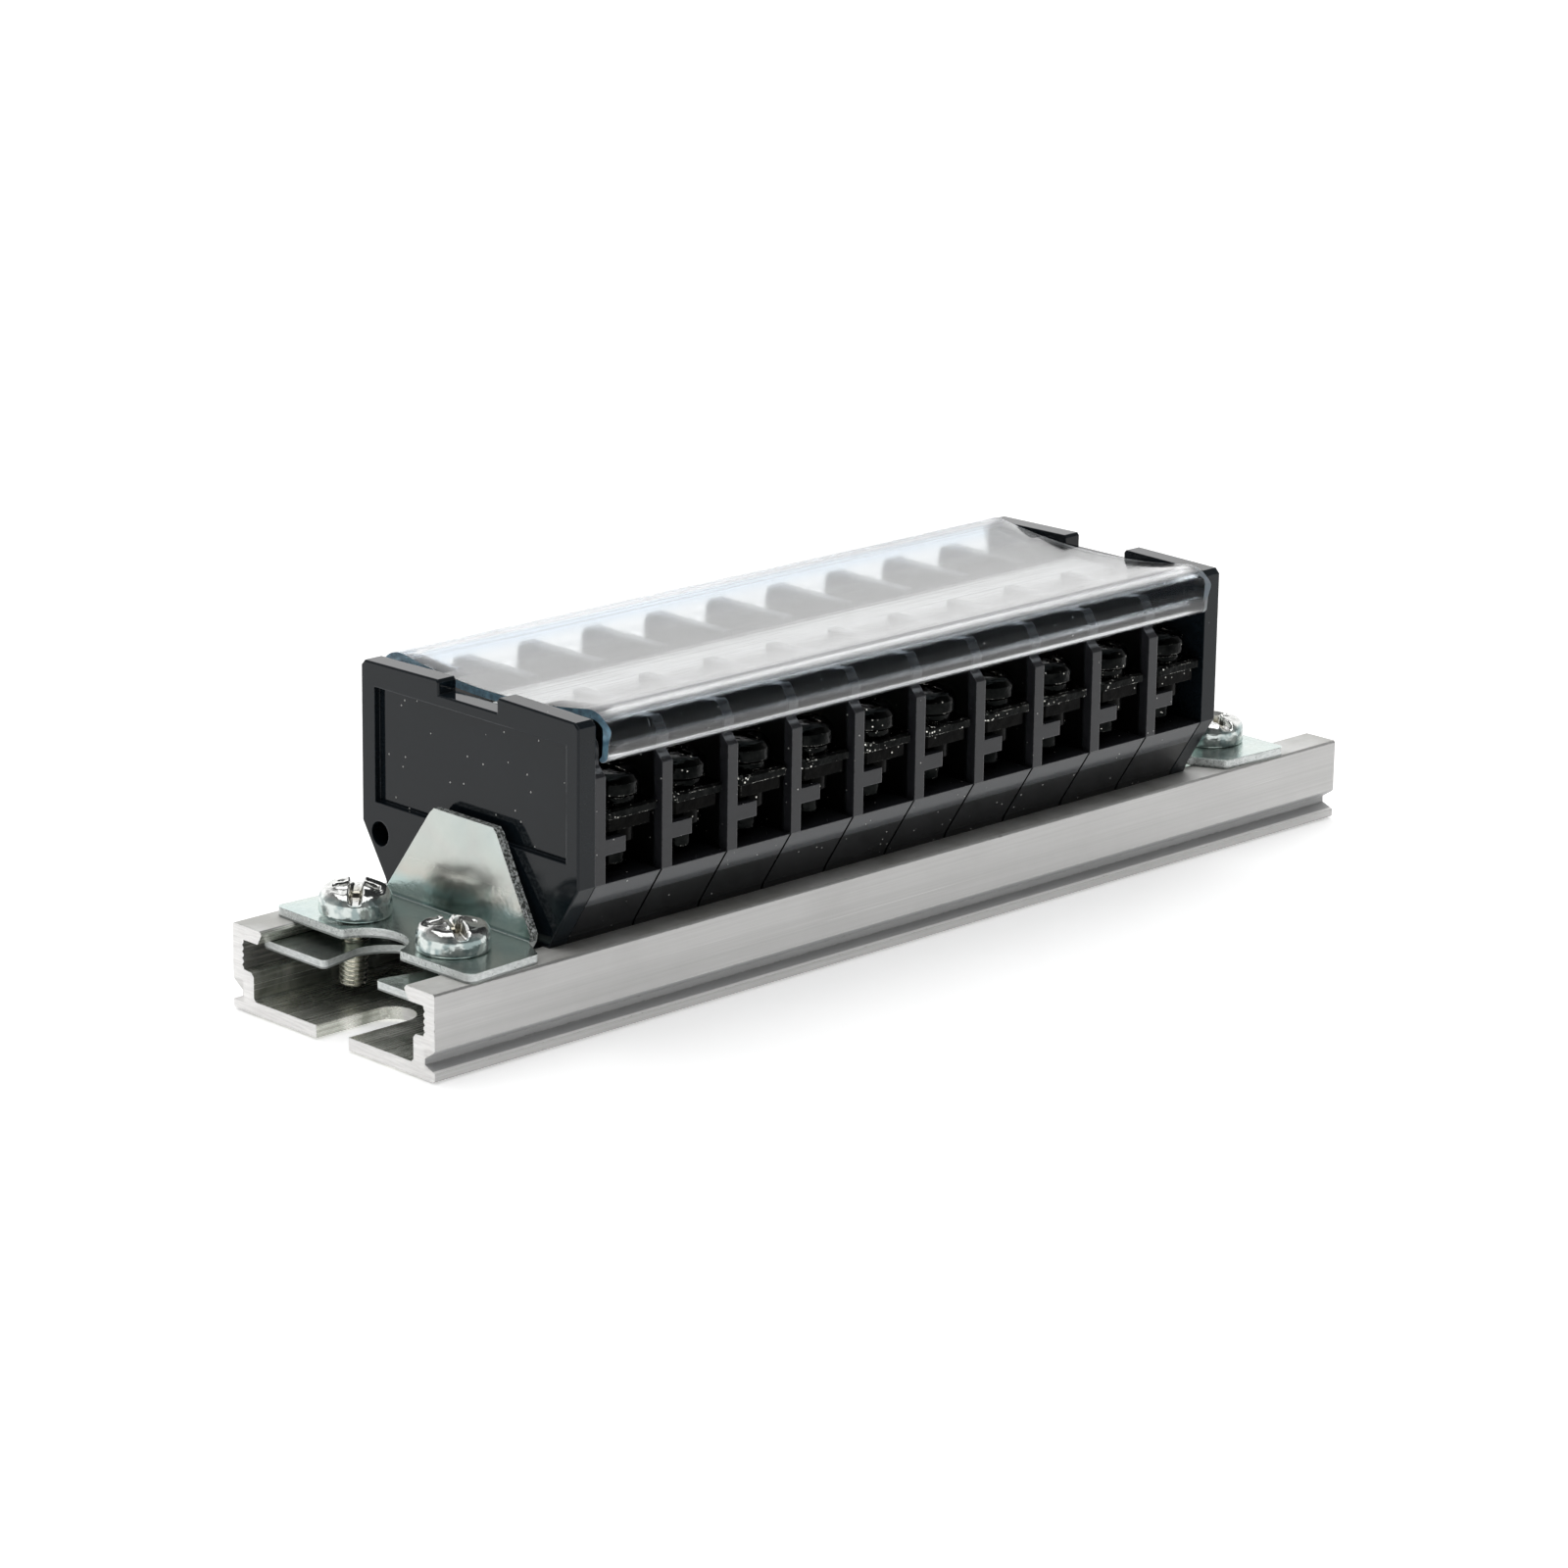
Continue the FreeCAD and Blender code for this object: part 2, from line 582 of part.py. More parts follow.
# ---------------------------------------------------------------------- marker strip
marker = body_named("marker_strip")
place(marker, x=D["block_start"] + D["poles"] * D["pitch"] / 2.0)
sk = sketch_on(marker, "YZ_Plane", "marker_section")
M = D["marker_wide"] / 2.0
MZ = D["ridge_top"] + 0.03
outline(sk, [(-M, MZ), (M, MZ), (M, MZ + D["marker_thick"] - 0.2), (M - 0.2, MZ + D["marker_thick"]),
             (0.2 - M, MZ + D["marker_thick"]), (-M, MZ + D["marker_thick"] - 0.2)])
pad(marker, sk, D["marker_len"], "marker_extrusion", middle=True)
doc.recompute()
PARTS.append(marker)


# ---------------------------------------------------------------------- end brackets
def bracket(name, side):
    """Zinc-plated angle: screwed foot plate and a leaning trapezoid flange.
    side is 1 for the -X end, as drawn, and -1 for its turned copy."""
    b = body_named(name)
    S = D["sheet_thick"]
    ft, hd = D["flange_foot_x"], D["flange_head_x"]
    rail_z = TOP + 0.02
    sk = sketch_on(b, "XZ_Plane", name + "_section")
    bend_r = 0.15
    outline(sk, [
        (D["bracket_out"], rail_z), (ft + S - 1.3, rail_z, 1.6, -1), (ft + S, rail_z + 1.35),
        (hd + S, D["flange_top"]), (hd, D["flange_top"] + 0.08), (ft - 0.05, rail_z + S + bend_r, bend_r, 1),
        (ft - 0.05 - bend_r, rail_z + S), (D["bracket_out"], rail_z + S),
    ])
    p = pad(b, sk, D["bracket_half"] * 2.0, name + "_sheet", middle=True)
    doc.recompute()
    # plan outline and the round mouth in the outer edge
    sk = sketch_on(b, "XY_Plane", name + "_plan_waste", 40.0)
    for s in (1.0, -1.0):
        # square ears, tapered sides and clipped inner corners
        pts = [(D["bracket_out"] - 1.0, s * 8.6), (D["bracket_out"], s * 8.6), (D["bracket_out"] + 0.1, s * D["bracket_half"]),
               (D["bracket_shoulder"], s * D["bracket_back_half"]),
               (ft - 0.25, s * D["flange_low_half"]), (ft + 5.0, s * D["flange_low_half"]), (ft + 5.0, s * (D["bracket_half"] + 2.0)),
               (D["bracket_out"] - 1.0, s * (D["bracket_half"] + 2.0))]
        outline(sk, pts if s > 0 else list(reversed(pts)))
    out = D["bracket_out"]
    mh, mr = D["mouth_half"], D["mouth_rad"]
    outline(sk, [(out - 1.0, mh), (out - 1.0, -mh), (out, -mh, mr, -1), (out + D["mouth_deep"], 0.0, mr, -1), (out, mh)])
    p = pocket(b, sk, 50.0, name + "_plan_cut")
    recut(b, p)
    # trapezoid flange
    sk = sketch_on(b, "YZ_Plane", name + "_flange_waste", ft - 2.0)
    zb, zt = rail_z + S + 0.6, D["flange_top"]
    lo, hi = D["flange_low_half"], D["flange_top_half"]
    for s in (1.0, -1.0):
        pts = [(s * lo, zb), (s * (lo + 6.0), zb), (s * (lo + 6.0), zt + 2.0), (s * (hi - 0.55), zt + 2.0),
               (s * (hi - 0.55), zt), (s * hi, zt - 0.5)]
        outline(sk, pts if s > 0 else list(reversed(pts)))
    p = pocket(b, sk, 8.0, name + "_flange_cut", reverse=True)
    recut(b, p)
    # screw clearance holes
    sk = sketch_on(b, "XY_Plane", name + "_screw_holes", 40.0)
    circle(sk, D["fix_x"], D["fix_y"], D["fix_clear"])
    circle(sk, D["fix_x"], -D["fix_y"], D["fix_clear"])
    p = pocket(b, sk, 50.0, name + "_holes")
    recut(b, p)
    # rounded outer corners of the foot plate
    corners = edges_where(p, lambda e: along(e, "z") and abs(abs(e.BoundBox.YMin) - num(D["bracket_half"])) < 1e-3
                          and e.BoundBox.XMin < num(out) + 0.6)
    q = dress(b, p, "Fillet", corners, 0.9, name + "_corners")
    tips = edges_where(q, lambda e: along(e, "z") and (
        (abs(abs(e.BoundBox.YMin) - num(mh)) < 1e-3 and e.BoundBox.XMin < num(out) + 0.01)
        or (abs(abs(e.BoundBox.YMin) - num(D["bracket_back_half"])) < 1e-3 and abs(e.BoundBox.XMin - num(D["bracket_shoulder"])) < 1e-3)))
    dress(b, q, "Fillet", tips, 0.5, name + "_tips")
    if side > 0:
        place(b, y=D["bracket_shift"])
    else:
        place(b, x=D["block_start"] * 2.0 + D["poles"] * D["pitch"], y=D["bracket_shift"], rot=Rotation(Vector(0, 0, 1), 180))
    return b


PARTS.append(bracket("end_bracket_left", 1))
PARTS.append(bracket("end_bracket_right", -1))


def clamp(name, side):
    """Tapped clamp plate that bears up against the lips from inside the rail."""
    b = body_named(name)
    sk = sketch_on(b, "XY_Plane", name + "_plan", D["clamp_top"] - D["clamp_thick"])
    # the outline is centred on the rail, the mouth and the holes on the bracket
    o, i, m = D["clamp_out"], D["clamp_in"], D["clamp_mouth"]
    up, low = D["clamp_half"] - D["bracket_shift"] * side, D["clamp_half"] + D["bracket_shift"] * side
    mx, mr = D["clamp_mouth_x"], D["clamp_mouth_rad"]
    c = 1.2
    outline(sk, [
        (o, up - c, c, 1), (o + c, up), (i - c, up, c, 1), (i, up - c), (i, c - low, c, 1), (i - c, -low),
        (o + c, -low, c, 1), (o, c - low), (o, -m - 0.6, 0.6, 1), (o + 0.6, -m), (mx, -mr, mr, -1),
        (mx + mr, 0.0, mr, -1), (mx, mr), (o + 0.6, m, 0.6, 1), (o, m + 0.6),
    ])
    pad(b, sk, D["clamp_thick"], name + "_sheet")
    doc.recompute()
    sk = sketch_on(b, "XY_Plane", name + "_tapped", 20.0)
    circle(sk, D["fix_x"], D["fix_y"], D["fix_rad"] + 0.06)
    circle(sk, D["fix_x"], -D["fix_y"], D["fix_rad"] + 0.06)
    p = pocket(b, sk, 30.0, name + "_holes")
    recut(b, p)
    if side > 0:
        place(b, y=D["bracket_shift"])
    else:
        place(b, x=D["block_start"] * 2.0 + D["poles"] * D["pitch"], y=D["bracket_shift"], rot=Rotation(Vector(0, 0, 1), 180))
    return b


PARTS.append(clamp("clamp_plate_left", 1))
PARTS.append(clamp("clamp_plate_right", -1))


def fixing_screw(name, y, turn):
    """Bracket screw with a low domed head; origin at the head's underside."""
    b = body_named(name)
    sk = sketch_on(b, "XZ_Plane", name + "_half_section")
    r = D["fix_rad"]
    outline(sk, [
        (0.0, -D["fix_len"]), (r - 0.35, -D["fix_len"]), (r, 0.35 - D["fix_len"]), (r, 0.0), (3.58, 0.0), (3.75, 0.2),
        (3.75, 1.4, 1.8, -1), (2.95, 2.66, 10.5, -1), (0.0, D["fix_head"]),
    ])
    rev = b.newObject("PartDesign::Revolution", name + "_turned")
    rev.Profile = sk
    rev.ReferenceAxis = (sk, ["V_Axis"])
    rev.Angle = 360.0
    sk.Visibility = False
    doc.recompute()
    recess(b, name, 3.1, 2.1, 1.0, 1.6, 4.1)
    place(b, x=D["fix_x"], y=y, z=TOP + 0.04 + D["sheet_thick"], rot=Rotation(Vector(0, 0, 1), turn))
    return b


for name, side, turns in (("bracket_screws_left", 1, (38.0, -12.0)), ("bracket_screws_right", -1, (65.0, 20.0))):
    pair = [fixing_screw(name + "_near", -D["fix_y"], turns[0]), fixing_screw(name + "_far", D["fix_y"] * 1.0, turns[1])]
    group = doc.addObject("Part::Compound", name)
    group.Label = name
    group.Links = pair
    if side > 0:
        place(group, y=D["bracket_shift"])
    else:
        place(group, x=D["block_start"] * 2.0 + D["poles"] * D["pitch"], y=D["bracket_shift"], rot=Rotation(Vector(0, 0, 1), 180))
    PARTS.append(group)

# ------------------------------------------------------------------ check and write
doc.recompute()
bad = [o.Name for o in doc.Objects if any(s in ("Invalid", "Error") for s in o.State)]
if bad:
    raise RuntimeError("failed objects: " + ", ".join(bad))
for obj in PARTS:
    shape = obj.Shape
    if shape.isNull() or not shape.isValid() or not shape.Solids:
        raise RuntimeError("bad shape: " + obj.Label)

os.makedirs("parts", exist_ok=True)
for obj in PARTS:
    obj.Shape.exportStep(os.path.join("parts", obj.Label + ".step"))
    bb = obj.Shape.BoundBox
    print("%-26s solids %d  vol %9.2f  x %7.2f %7.2f  y %7.2f %7.2f  z %6.2f %6.2f" % (
        obj.Label, len(obj.Shape.Solids), obj.Shape.Volume, bb.XMin, bb.XMax, bb.YMin, bb.YMax, bb.ZMin, bb.ZMax))
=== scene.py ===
import math

import bpy
from mathutils import Matrix, Vector


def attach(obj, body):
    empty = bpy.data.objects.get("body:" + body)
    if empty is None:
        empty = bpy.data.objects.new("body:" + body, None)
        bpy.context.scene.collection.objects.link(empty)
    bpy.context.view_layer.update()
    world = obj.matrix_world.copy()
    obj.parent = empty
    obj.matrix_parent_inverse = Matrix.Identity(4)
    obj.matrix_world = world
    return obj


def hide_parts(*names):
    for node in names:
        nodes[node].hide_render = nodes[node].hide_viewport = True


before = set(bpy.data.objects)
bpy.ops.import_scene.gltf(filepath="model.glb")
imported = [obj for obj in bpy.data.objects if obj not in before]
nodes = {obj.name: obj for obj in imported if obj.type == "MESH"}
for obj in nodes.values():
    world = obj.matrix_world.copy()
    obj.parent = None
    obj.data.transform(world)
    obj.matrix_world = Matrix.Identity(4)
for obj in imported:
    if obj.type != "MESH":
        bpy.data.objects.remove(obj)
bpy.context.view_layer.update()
scene = bpy.context.scene
MM = 1000.0

# ------------------------------------------------------------------ camera and stage
AZ, EL, ROLL = math.radians(-44.509), math.radians(16.401), math.radians(0.783)
EYE = Vector((-0.38421, -0.38566, 0.17382))
back = Vector((math.sin(AZ) * math.cos(EL), -math.cos(AZ) * math.cos(EL), math.sin(EL)))
right = Vector((math.cos(AZ), math.sin(AZ), 0.0))
up = back.cross(right)
right_rolled = right * math.cos(ROLL) + up * math.sin(ROLL)
up_rolled = up * math.cos(ROLL) - right * math.sin(ROLL)
cam_data = bpy.data.cameras.new("camera")
cam_data.sensor_width = 36.0
cam_data.lens = 122.10
cam_data.clip_start, cam_data.clip_end = 0.01, 50.0
cam = bpy.data.objects.new("camera", cam_data)
cam.matrix_world = Matrix((
    (right_rolled.x, up_rolled.x, back.x, EYE.x),
    (right_rolled.y, up_rolled.y, back.y, EYE.y),
    (right_rolled.z, up_rolled.z, back.z, EYE.z),
    (0.0, 0.0, 0.0, 1.0),
))
scene.collection.objects.link(cam)
scene.camera = cam

scene.view_settings.view_transform = "Standard"
scene.view_settings.look = "None"
scene.view_settings.exposure = 0.0


# ------------------------------------------------------------------ node helpers
class Graph:
    """Short calls for building one material's node tree."""

    def __init__(self, name):
        self.mat = bpy.data.materials.new(name)
        self.mat.use_nodes = True
        self.tree = self.mat.node_tree
        self.tree.nodes.clear()
        self.out = self.tree.nodes.new("ShaderNodeOutputMaterial")

    def node(self, kind, **values):
        n = self.tree.nodes.new(kind)
        for key, value in values.items():
            setattr(n, key, value)
        return n

    def put(self, socket, value):
        if isinstance(value, bpy.types.NodeSocket):
            self.tree.links.new(value, socket)
        elif isinstance(value, (tuple, list)) and len(value) == 3 and socket.type == "RGBA":
            socket.default_value = (*value, 1.0)
        else:
            socket.default_value = value

    def place(self):
        """Object coordinates in millimetres."""
        coord = self.node("ShaderNodeTexCoord").outputs["Object"]
        scale = self.node("ShaderNodeVectorMath", operation="SCALE")
        self.put(scale.inputs[0], coord)
        scale.inputs["Scale"].default_value = MM
        return scale.outputs[0]

    def normal(self):
        return self.node("ShaderNodeTexCoord").outputs["Normal"]

    def split(self, vector):
        n = self.node("ShaderNodeSeparateXYZ")
        self.put(n.inputs[0], vector)
        return n.outputs["X"], n.outputs["Y"], n.outputs["Z"]

    def stretch(self, vector, x, y, z, dx=0.0, dy=0.0, dz=0.0):
        n = self.node("ShaderNodeMapping")
        self.put(n.inputs["Vector"], vector)
        n.inputs["Scale"].default_value = (x, y, z)
        n.inputs["Location"].default_value = (dx, dy, dz)
        return n.outputs[0]

    def noise(self, vector, scale, detail=3.0, rough=0.55, distortion=0.0):
        n = self.node("ShaderNodeTexNoise")
        self.put(n.inputs["Vector"], vector)
        n.inputs["Scale"].default_value = scale
        n.inputs["Detail"].default_value = detail
        n.inputs["Roughness"].default_value = rough
        n.inputs["Distortion"].default_value = distortion
        return n.outputs["Fac"]

    def cells(self, vector, scale):
        n = self.node("ShaderNodeTexVoronoi")
        self.put(n.inputs["Vector"], vector)
        n.inputs["Scale"].default_value = scale
        return n.outputs["Distance"], n.outputs["Color"]

    def math(self, op, a, b=0.0, c=0.0, clamp=False):
        n = self.node("ShaderNodeMath", operation=op, use_clamp=clamp)
        self.put(n.inputs[0], a)
        self.put(n.inputs[1], b)
        if op in ("MULTIPLY_ADD", "SMOOTH_MIN", "COMPARE"):
            self.put(n.inputs[2], c)
        return n.outputs[0]

    def span(self, value, a, b, c=0.0, d=1.0, smooth=False):
        """Maps value from a..b to c..d, held at the ends."""
        n = self.node("ShaderNodeMapRange", clamp=True)
        if smooth:
            n.interpolation_type = "SMOOTHSTEP"
        self.put(n.inputs["Value"], value)
        n.inputs["From Min"].default_value, n.inputs["From Max"].default_value = a, b
        n.inputs["To Min"].default_value, n.inputs["To Max"].default_value = c, d
        return n.outputs["Result"]

    def mix(self, fac, a, b, blend="MIX"):
        n = self.node("ShaderNodeMix", data_type="RGBA", blend_type=blend)
        self.put(n.inputs[0], fac)
        self.put(n.inputs[6], a)
        self.put(n.inputs[7], b)
        return n.outputs[2]

    def ramp(self, fac, stops):
        n = self.node("ShaderNodeValToRGB")
        self.put(n.inputs[0], fac)
        el = n.color_ramp.elements
        while len(el) < len(stops):
            el.new(0.5)
        for e, (pos, colour) in zip(el, stops):
            e.position = pos
            e.color = (*colour, 1.0)
        return n.outputs["Color"]

    def bump(self, height, distance_mm, strength=1.0, after=None):
        n = self.node("ShaderNodeBump")
        self.put(n.inputs["Height"], height)
        n.inputs["Distance"].default_value = distance_mm / MM
        n.inputs["Strength"].default_value = strength
        if after is not None:
            self.put(n.inputs["Normal"], after)
        return n.outputs["Normal"]

    def rounded(self, radius_mm):
        n = self.node("ShaderNodeBevel")
        n.samples = 4
        n.inputs["Radius"].default_value = radius_mm / MM
        return n.outputs["Normal"]

    def edge(self, radius_mm, lo=0.985, hi=0.90):
        """1 near an outer or inner edge, 0 on the open faces."""
        soft = self.rounded(radius_mm)
        flat = self.node("ShaderNodeNewGeometry").outputs["Normal"]
        dot = self.node("ShaderNodeVectorMath", operation="DOT_PRODUCT")
        self.put(dot.inputs[0], soft)
        self.put(dot.inputs[1], flat)
        return self.span(dot.outputs["Value"], lo, hi, 0.0, 1.0)

    def surface(self, **inputs):
        shader = self.node("ShaderNodeBsdfPrincipled")
        for key, value in inputs.items():
            self.put(shader.inputs[key.replace("_", " ")], value)
        self.tree.links.new(shader.outputs[0], self.out.inputs["Surface"])
        return shader


def give(mat, *names):
    for name in names:
        data = nodes[name].data
        if not data.materials:
            data.materials.append(mat)
        for i in range(len(data.materials)):
            data.materials[i] = mat


def specks(g, at, scale, size, share):
    """Sparse specks of dust: 1 on a speck."""
    d, colour = g.cells(at, scale)
    r, _, _ = g.split(colour)
    near = g.span(d, size * 0.6, size, 1.0, 0.0)
    rare = g.math("GREATER_THAN", r, 1.0 - share)
    return g.math("MULTIPLY", near, rare)


# ------------------------------------------------------------------ moulded plastic
def plastic(name, dark, light, rough, seed, speck_share=0.035, bays=False, ior=1.50):
    g = Graph(name)
    p = g.place()
    px, py, pz = g.split(p)
    moved = g.stretch(p, 1.0, 1.0, 1.0, seed, seed * 0.7, seed * 1.3)
    cloud = g.noise(moved, 0.22, 4.0, 0.6)
    fine = g.noise(moved, 9.0, 3.0, 0.6)
    flow = g.noise(g.stretch(moved, 0.5, 0.9, 2.4), 0.55, 3.0, 0.5, 0.6)
    tone = g.math("MULTIPLY_ADD", fine, 0.25, g.math("MULTIPLY_ADD", cloud, 0.55, g.math("MULTIPLY", flow, 0.2)))
    colour = g.mix(g.span(tone, 0.30, 0.72), dark, light)
    shaded_bays = None
    if bays:
        # the recessed bays are rougher and painted much darker than the outer strips: painted shade in the recesses
        away = g.math("ABSOLUTE", py)
        shaded_bays = g.math("MULTIPLY", g.span(away, 15.35, 15.15), g.math("MULTIPLY", g.span(pz, 15.9, 16.05), g.span(pz, 30.95, 30.7)))
        colour = g.mix(shaded_bays, colour, tuple(c * 0.16 for c in dark))
        # the slanted base, polished: a greyer strip under the bays as a painted reflection of the lit floor, and a
        # near-black band below it as a painted dark reflection
        strip = g.math("MULTIPLY", g.span(pz, 15.9, 15.8), g.span(pz, 13.2, 13.6, smooth=True))
        dark_reflection_band = g.math("MULTIPLY", g.span(pz, 13.6, 13.2, smooth=True), g.span(pz, 8.8, 9.0))
        colour = g.mix(g.math("MULTIPLY", strip, 0.8), colour, (0.060, 0.064, 0.069))
        colour = g.mix(g.math("MULTIPLY", dark_reflection_band, 0.8), colour, (0.004, 0.0045, 0.005))
    # edges lightened in patches: partly chips and wear, partly a painted highlight along the rounded edges
    edge_band = g.edge(0.16)
    chipped_and_highlit = g.math("MULTIPLY", edge_band, g.span(g.noise(moved, 1.7, 4.0, 0.7), 0.36, 0.60))
    if bays:
        chipped_and_highlit = g.math("MULTIPLY", chipped_and_highlit, g.span(shaded_bays, 0.0, 1.0, 1.0, 0.25))
    colour = g.mix(g.math("MULTIPLY", chipped_and_highlit, 0.60), colour, tuple(min(1.0, c * 3.6 + 0.02) for c in light))
    dust = specks(g, moved, 0.90, 0.09, 0.5) if bays else specks(g, moved, 0.62, 0.075, speck_share * 6.0)
    lint = specks(g, g.stretch(moved, 1.0, 1.0, 1.0, 31.0, 17.0, 5.0), 1.9, 0.12, speck_share * 0.8)
    dirt = g.math("MAXIMUM", dust, g.math("MULTIPLY", lint, 0.45))
    colour = g.mix(dirt, colour, (0.55, 0.55, 0.53))
    grain = g.noise(moved, 14.0, 2.0, 0.5)
    roughness = g.math("MULTIPLY_ADD", g.span(cloud, 0.3, 0.7), 0.05, rough)
    if bays:
        roughness = g.math("MULTIPLY_ADD", shaded_bays, 0.30, roughness)
    roughness = g.math("MULTIPLY_ADD", dirt, 0.5, roughness, clamp=True)
    soft = g.rounded(0.13)
    n = g.bump(grain, 0.008, 0.25, soft)
    n = g.bump(g.noise(moved, 0.35, 2.0, 0.5), 0.06, 0.22 if bays else 0.07, n)
    n = g.bump(dirt, 0.06, 0.6, n)
    shader = g.surface(Base_Color=colour, Roughness=roughness, IOR=ior, Normal=n)
    if bays:
        # black joint lines between neighbouring housings on the slanted base
        u = g.math("MULTIPLY", g.math("FRACT", g.math("MULTIPLY_ADD", px, 1.0 / 9.0, 47.16 / 9.0)), 9.0)
        joint = g.math("MAXIMUM", g.span(u, 8.77, 8.82), g.span(u, 0.11, 0.06))
        joint = g.math("MULTIPLY", joint, g.span(pz, 15.95, 15.85))
        black = g.node("ShaderNodeBsdfDiffuse")
        g.put(black.inputs["Color"], (0.002, 0.002, 0.002))
        both = g.node("ShaderNodeMixShader")
        g.put(both.inputs[0], joint)
        g.tree.links.new(shader.outputs[0], both.inputs[1])
        g.tree.links.new(black.outputs[0], both.inputs[2])
        g.tree.links.new(both.outputs[0], g.out.inputs["Surface"])
    return g.mat


housing = plastic("housing_black", (0.015, 0.016, 0.018), (0.026, 0.027, 0.031), 0.025, 0.0, bays=True, ior=1.44)
plate_black = plastic("plate_black", (0.0040, 0.0070, 0.0095), (0.0080, 0.0115, 0.0150), 0.015, 47.0, 0.02, ior=1.33)
give(housing, *[n for n in nodes if n.startswith("module_housing")])
give(plate_black, "end_plate_left", "end_plate_right")


# ------------------------------------------------------------------ extruded aluminium
def aluminium():
    g = Graph("rail_aluminium")
    p = g.place()
    nx, ny, nz = g.split(g.normal())
    end = g.span(g.math("ABSOLUTE", nx), 0.85, 0.97)
    lines = g.noise(g.stretch(p, 0.012, 3.1, 3.1), 1.0, 6.0, 0.72)
    broad = g.noise(g.stretch(p, 0.006, 0.55, 0.55), 1.0, 3.0, 0.6)
    cloud = g.noise(p, 0.11, 4.0, 0.6)
    saw = g.noise(g.stretch(p, 1.0, 0.35, 5.0), 1.0, 5.0, 0.7)
    long_tone = g.math("MULTIPLY_ADD", lines, 0.6, g.math("MULTIPLY", broad, 0.4))
    px, py, pz = g.split(p)
    away = g.math("ABSOLUTE", py)
    colour = g.ramp(g.span(long_tone, 0.30, 0.70), [(0.0, (0.42, 0.418, 0.41)), (0.5, (0.495, 0.492, 0.485)), (1.0, (0.57, 0.566, 0.558))])
    colour = g.mix(g.math("MULTIPLY", g.span(cloud, 0.45, 0.75), 0.30), colour, (0.40, 0.396, 0.39))
    # the inside of the channel keeps an olive film and coarser die lines
    inside = g.math("MULTIPLY", g.span(away, 13.7, 13.5), g.span(pz, 8.95, 8.85))
    film = g.ramp(g.span(lines, 0.38, 0.62), [(0.0, (0.42, 0.43, 0.36)), (0.6, (0.68, 0.70, 0.62)), (1.0, (0.95, 0.96, 0.88))])
    colour = g.mix(g.math("MULTIPLY", inside, 0.75), colour, film)
    stain = g.noise(g.stretch(p, 0.7, 0.7, 0.35, 2.0, 9.0), 0.42, 3.0, 0.6, 0.7)
    colour = g.mix(g.math("MULTIPLY", inside, g.span(stain, 0.55, 0.68, 0.0, 0.85)), colour, (1.0, 1.0, 0.93))
    colour = g.mix(g.math("MULTIPLY", inside, g.span(stain, 0.46, 0.36, 0.0, 0.60)), colour, (0.22, 0.23, 0.19))
    # painted shade under the overhang of the side grooves: a greyer, rougher and less metallic zone, with a painted
    # light strip on the lip below it
    shaded_groove = g.math("MULTIPLY", g.span(away, 13.9, 14.0), g.math("MULTIPLY", g.span(pz, 3.25, 3.12), g.span(pz, 0.86, 0.94)))
    shade = g.mix(g.span(long_tone, 0.30, 0.70), (0.40, 0.405, 0.41), (0.52, 0.52, 0.515))
    painted_lip_light = g.math("MULTIPLY", g.span(away, 15.10, 15.25), g.span(pz, 1.12, 1.04))
    shade = g.mix(painted_lip_light, shade, (0.90, 0.895, 0.88))
    colour = g.mix(shaded_groove, colour, shade)
    sawn = g.ramp(g.span(saw, 0.3, 0.7), [(0.0, (0.72, 0.712, 0.70)), (1.0, (0.92, 0.912, 0.90))])
    colour = g.mix(end, colour, sawn)
    pits = g.math("MAXIMUM", specks(g, g.stretch(p, 0.45, 1.0, 1.0), 0.55, 0.11, 0.05),
                  specks(g, g.stretch(p, 0.12, 1.0, 1.0, 5.0, 3.0, 2.0), 0.42, 0.16, 0.035))
    scratch = g.span(g.noise(g.stretch(p, 0.05, 5.5, 5.5, 3.0), 1.0, 2.0, 0.5), 0.68, 0.76)
    colour = g.mix(g.math("MULTIPLY", pits, 0.55), colour, (0.20, 0.19, 0.18))
    colour = g.mix(g.math("MULTIPLY", scratch, 0.35), colour, (0.78, 0.78, 0.77))
    edge_band = g.edge(0.18)
    nick = g.noise(g.stretch(p, 1.0, 1.0, 1.0, 7.0, 3.0, 1.0), 1.5, 4.0, 0.7)
    colour = g.mix(g.math("MULTIPLY", edge_band, g.span(nick, 0.42, 0.60, 0.05, 0.55)), colour, (0.80, 0.80, 0.79))
    colour = g.mix(g.math("MULTIPLY", edge_band, g.span(nick, 0.42, 0.34, 0.0, 0.75)), colour, (0.20, 0.195, 0.19))
    roughness = g.math("MULTIPLY_ADD", g.span(long_tone, 0.3, 0.7), 0.14, 0.27)
    roughness = g.math("MULTIPLY_ADD", inside, -0.08, roughness)
    topside = g.math("MULTIPLY", g.span(nz, 0.80, 0.95), g.span(pz, 8.80, 8.92))
    roughness = g.math("MULTIPLY_ADD", topside, 0.20, roughness)
    colour = g.mix(g.math("MULTIPLY", topside, 0.55), colour, g.mix(g.span(cloud, 0.40, 0.62), (0.50, 0.50, 0.46), (0.86, 0.86, 0.84)))
    roughness = g.math("MULTIPLY_ADD", end, 0.14, roughness)
    roughness = g.math("MULTIPLY_ADD", shaded_groove, 0.22, roughness)
    metal = g.math("MULTIPLY_ADD", inside, -0.22, g.math("MULTIPLY_ADD", topside, -0.66, 0.93))
    metal = g.math("MULTIPLY_ADD", g.math("MULTIPLY", shaded_groove, g.span(end, 0.0, 1.0, 1.0, 0.0)), -0.75, metal)
    n = g.rounded(0.16)
    n = g.bump(lines, 0.045, 0.6, n)
    n = g.bump(g.math("MULTIPLY", nick, edge_band), 0.20, 0.6, n)
    n = g.bump(g.math("MULTIPLY", saw, end), 0.05, 0.5, n)
    g.surface(Base_Color=colour, Metallic=metal, Roughness=roughness, Normal=n)
    return g.mat


give(aluminium(), "rail")


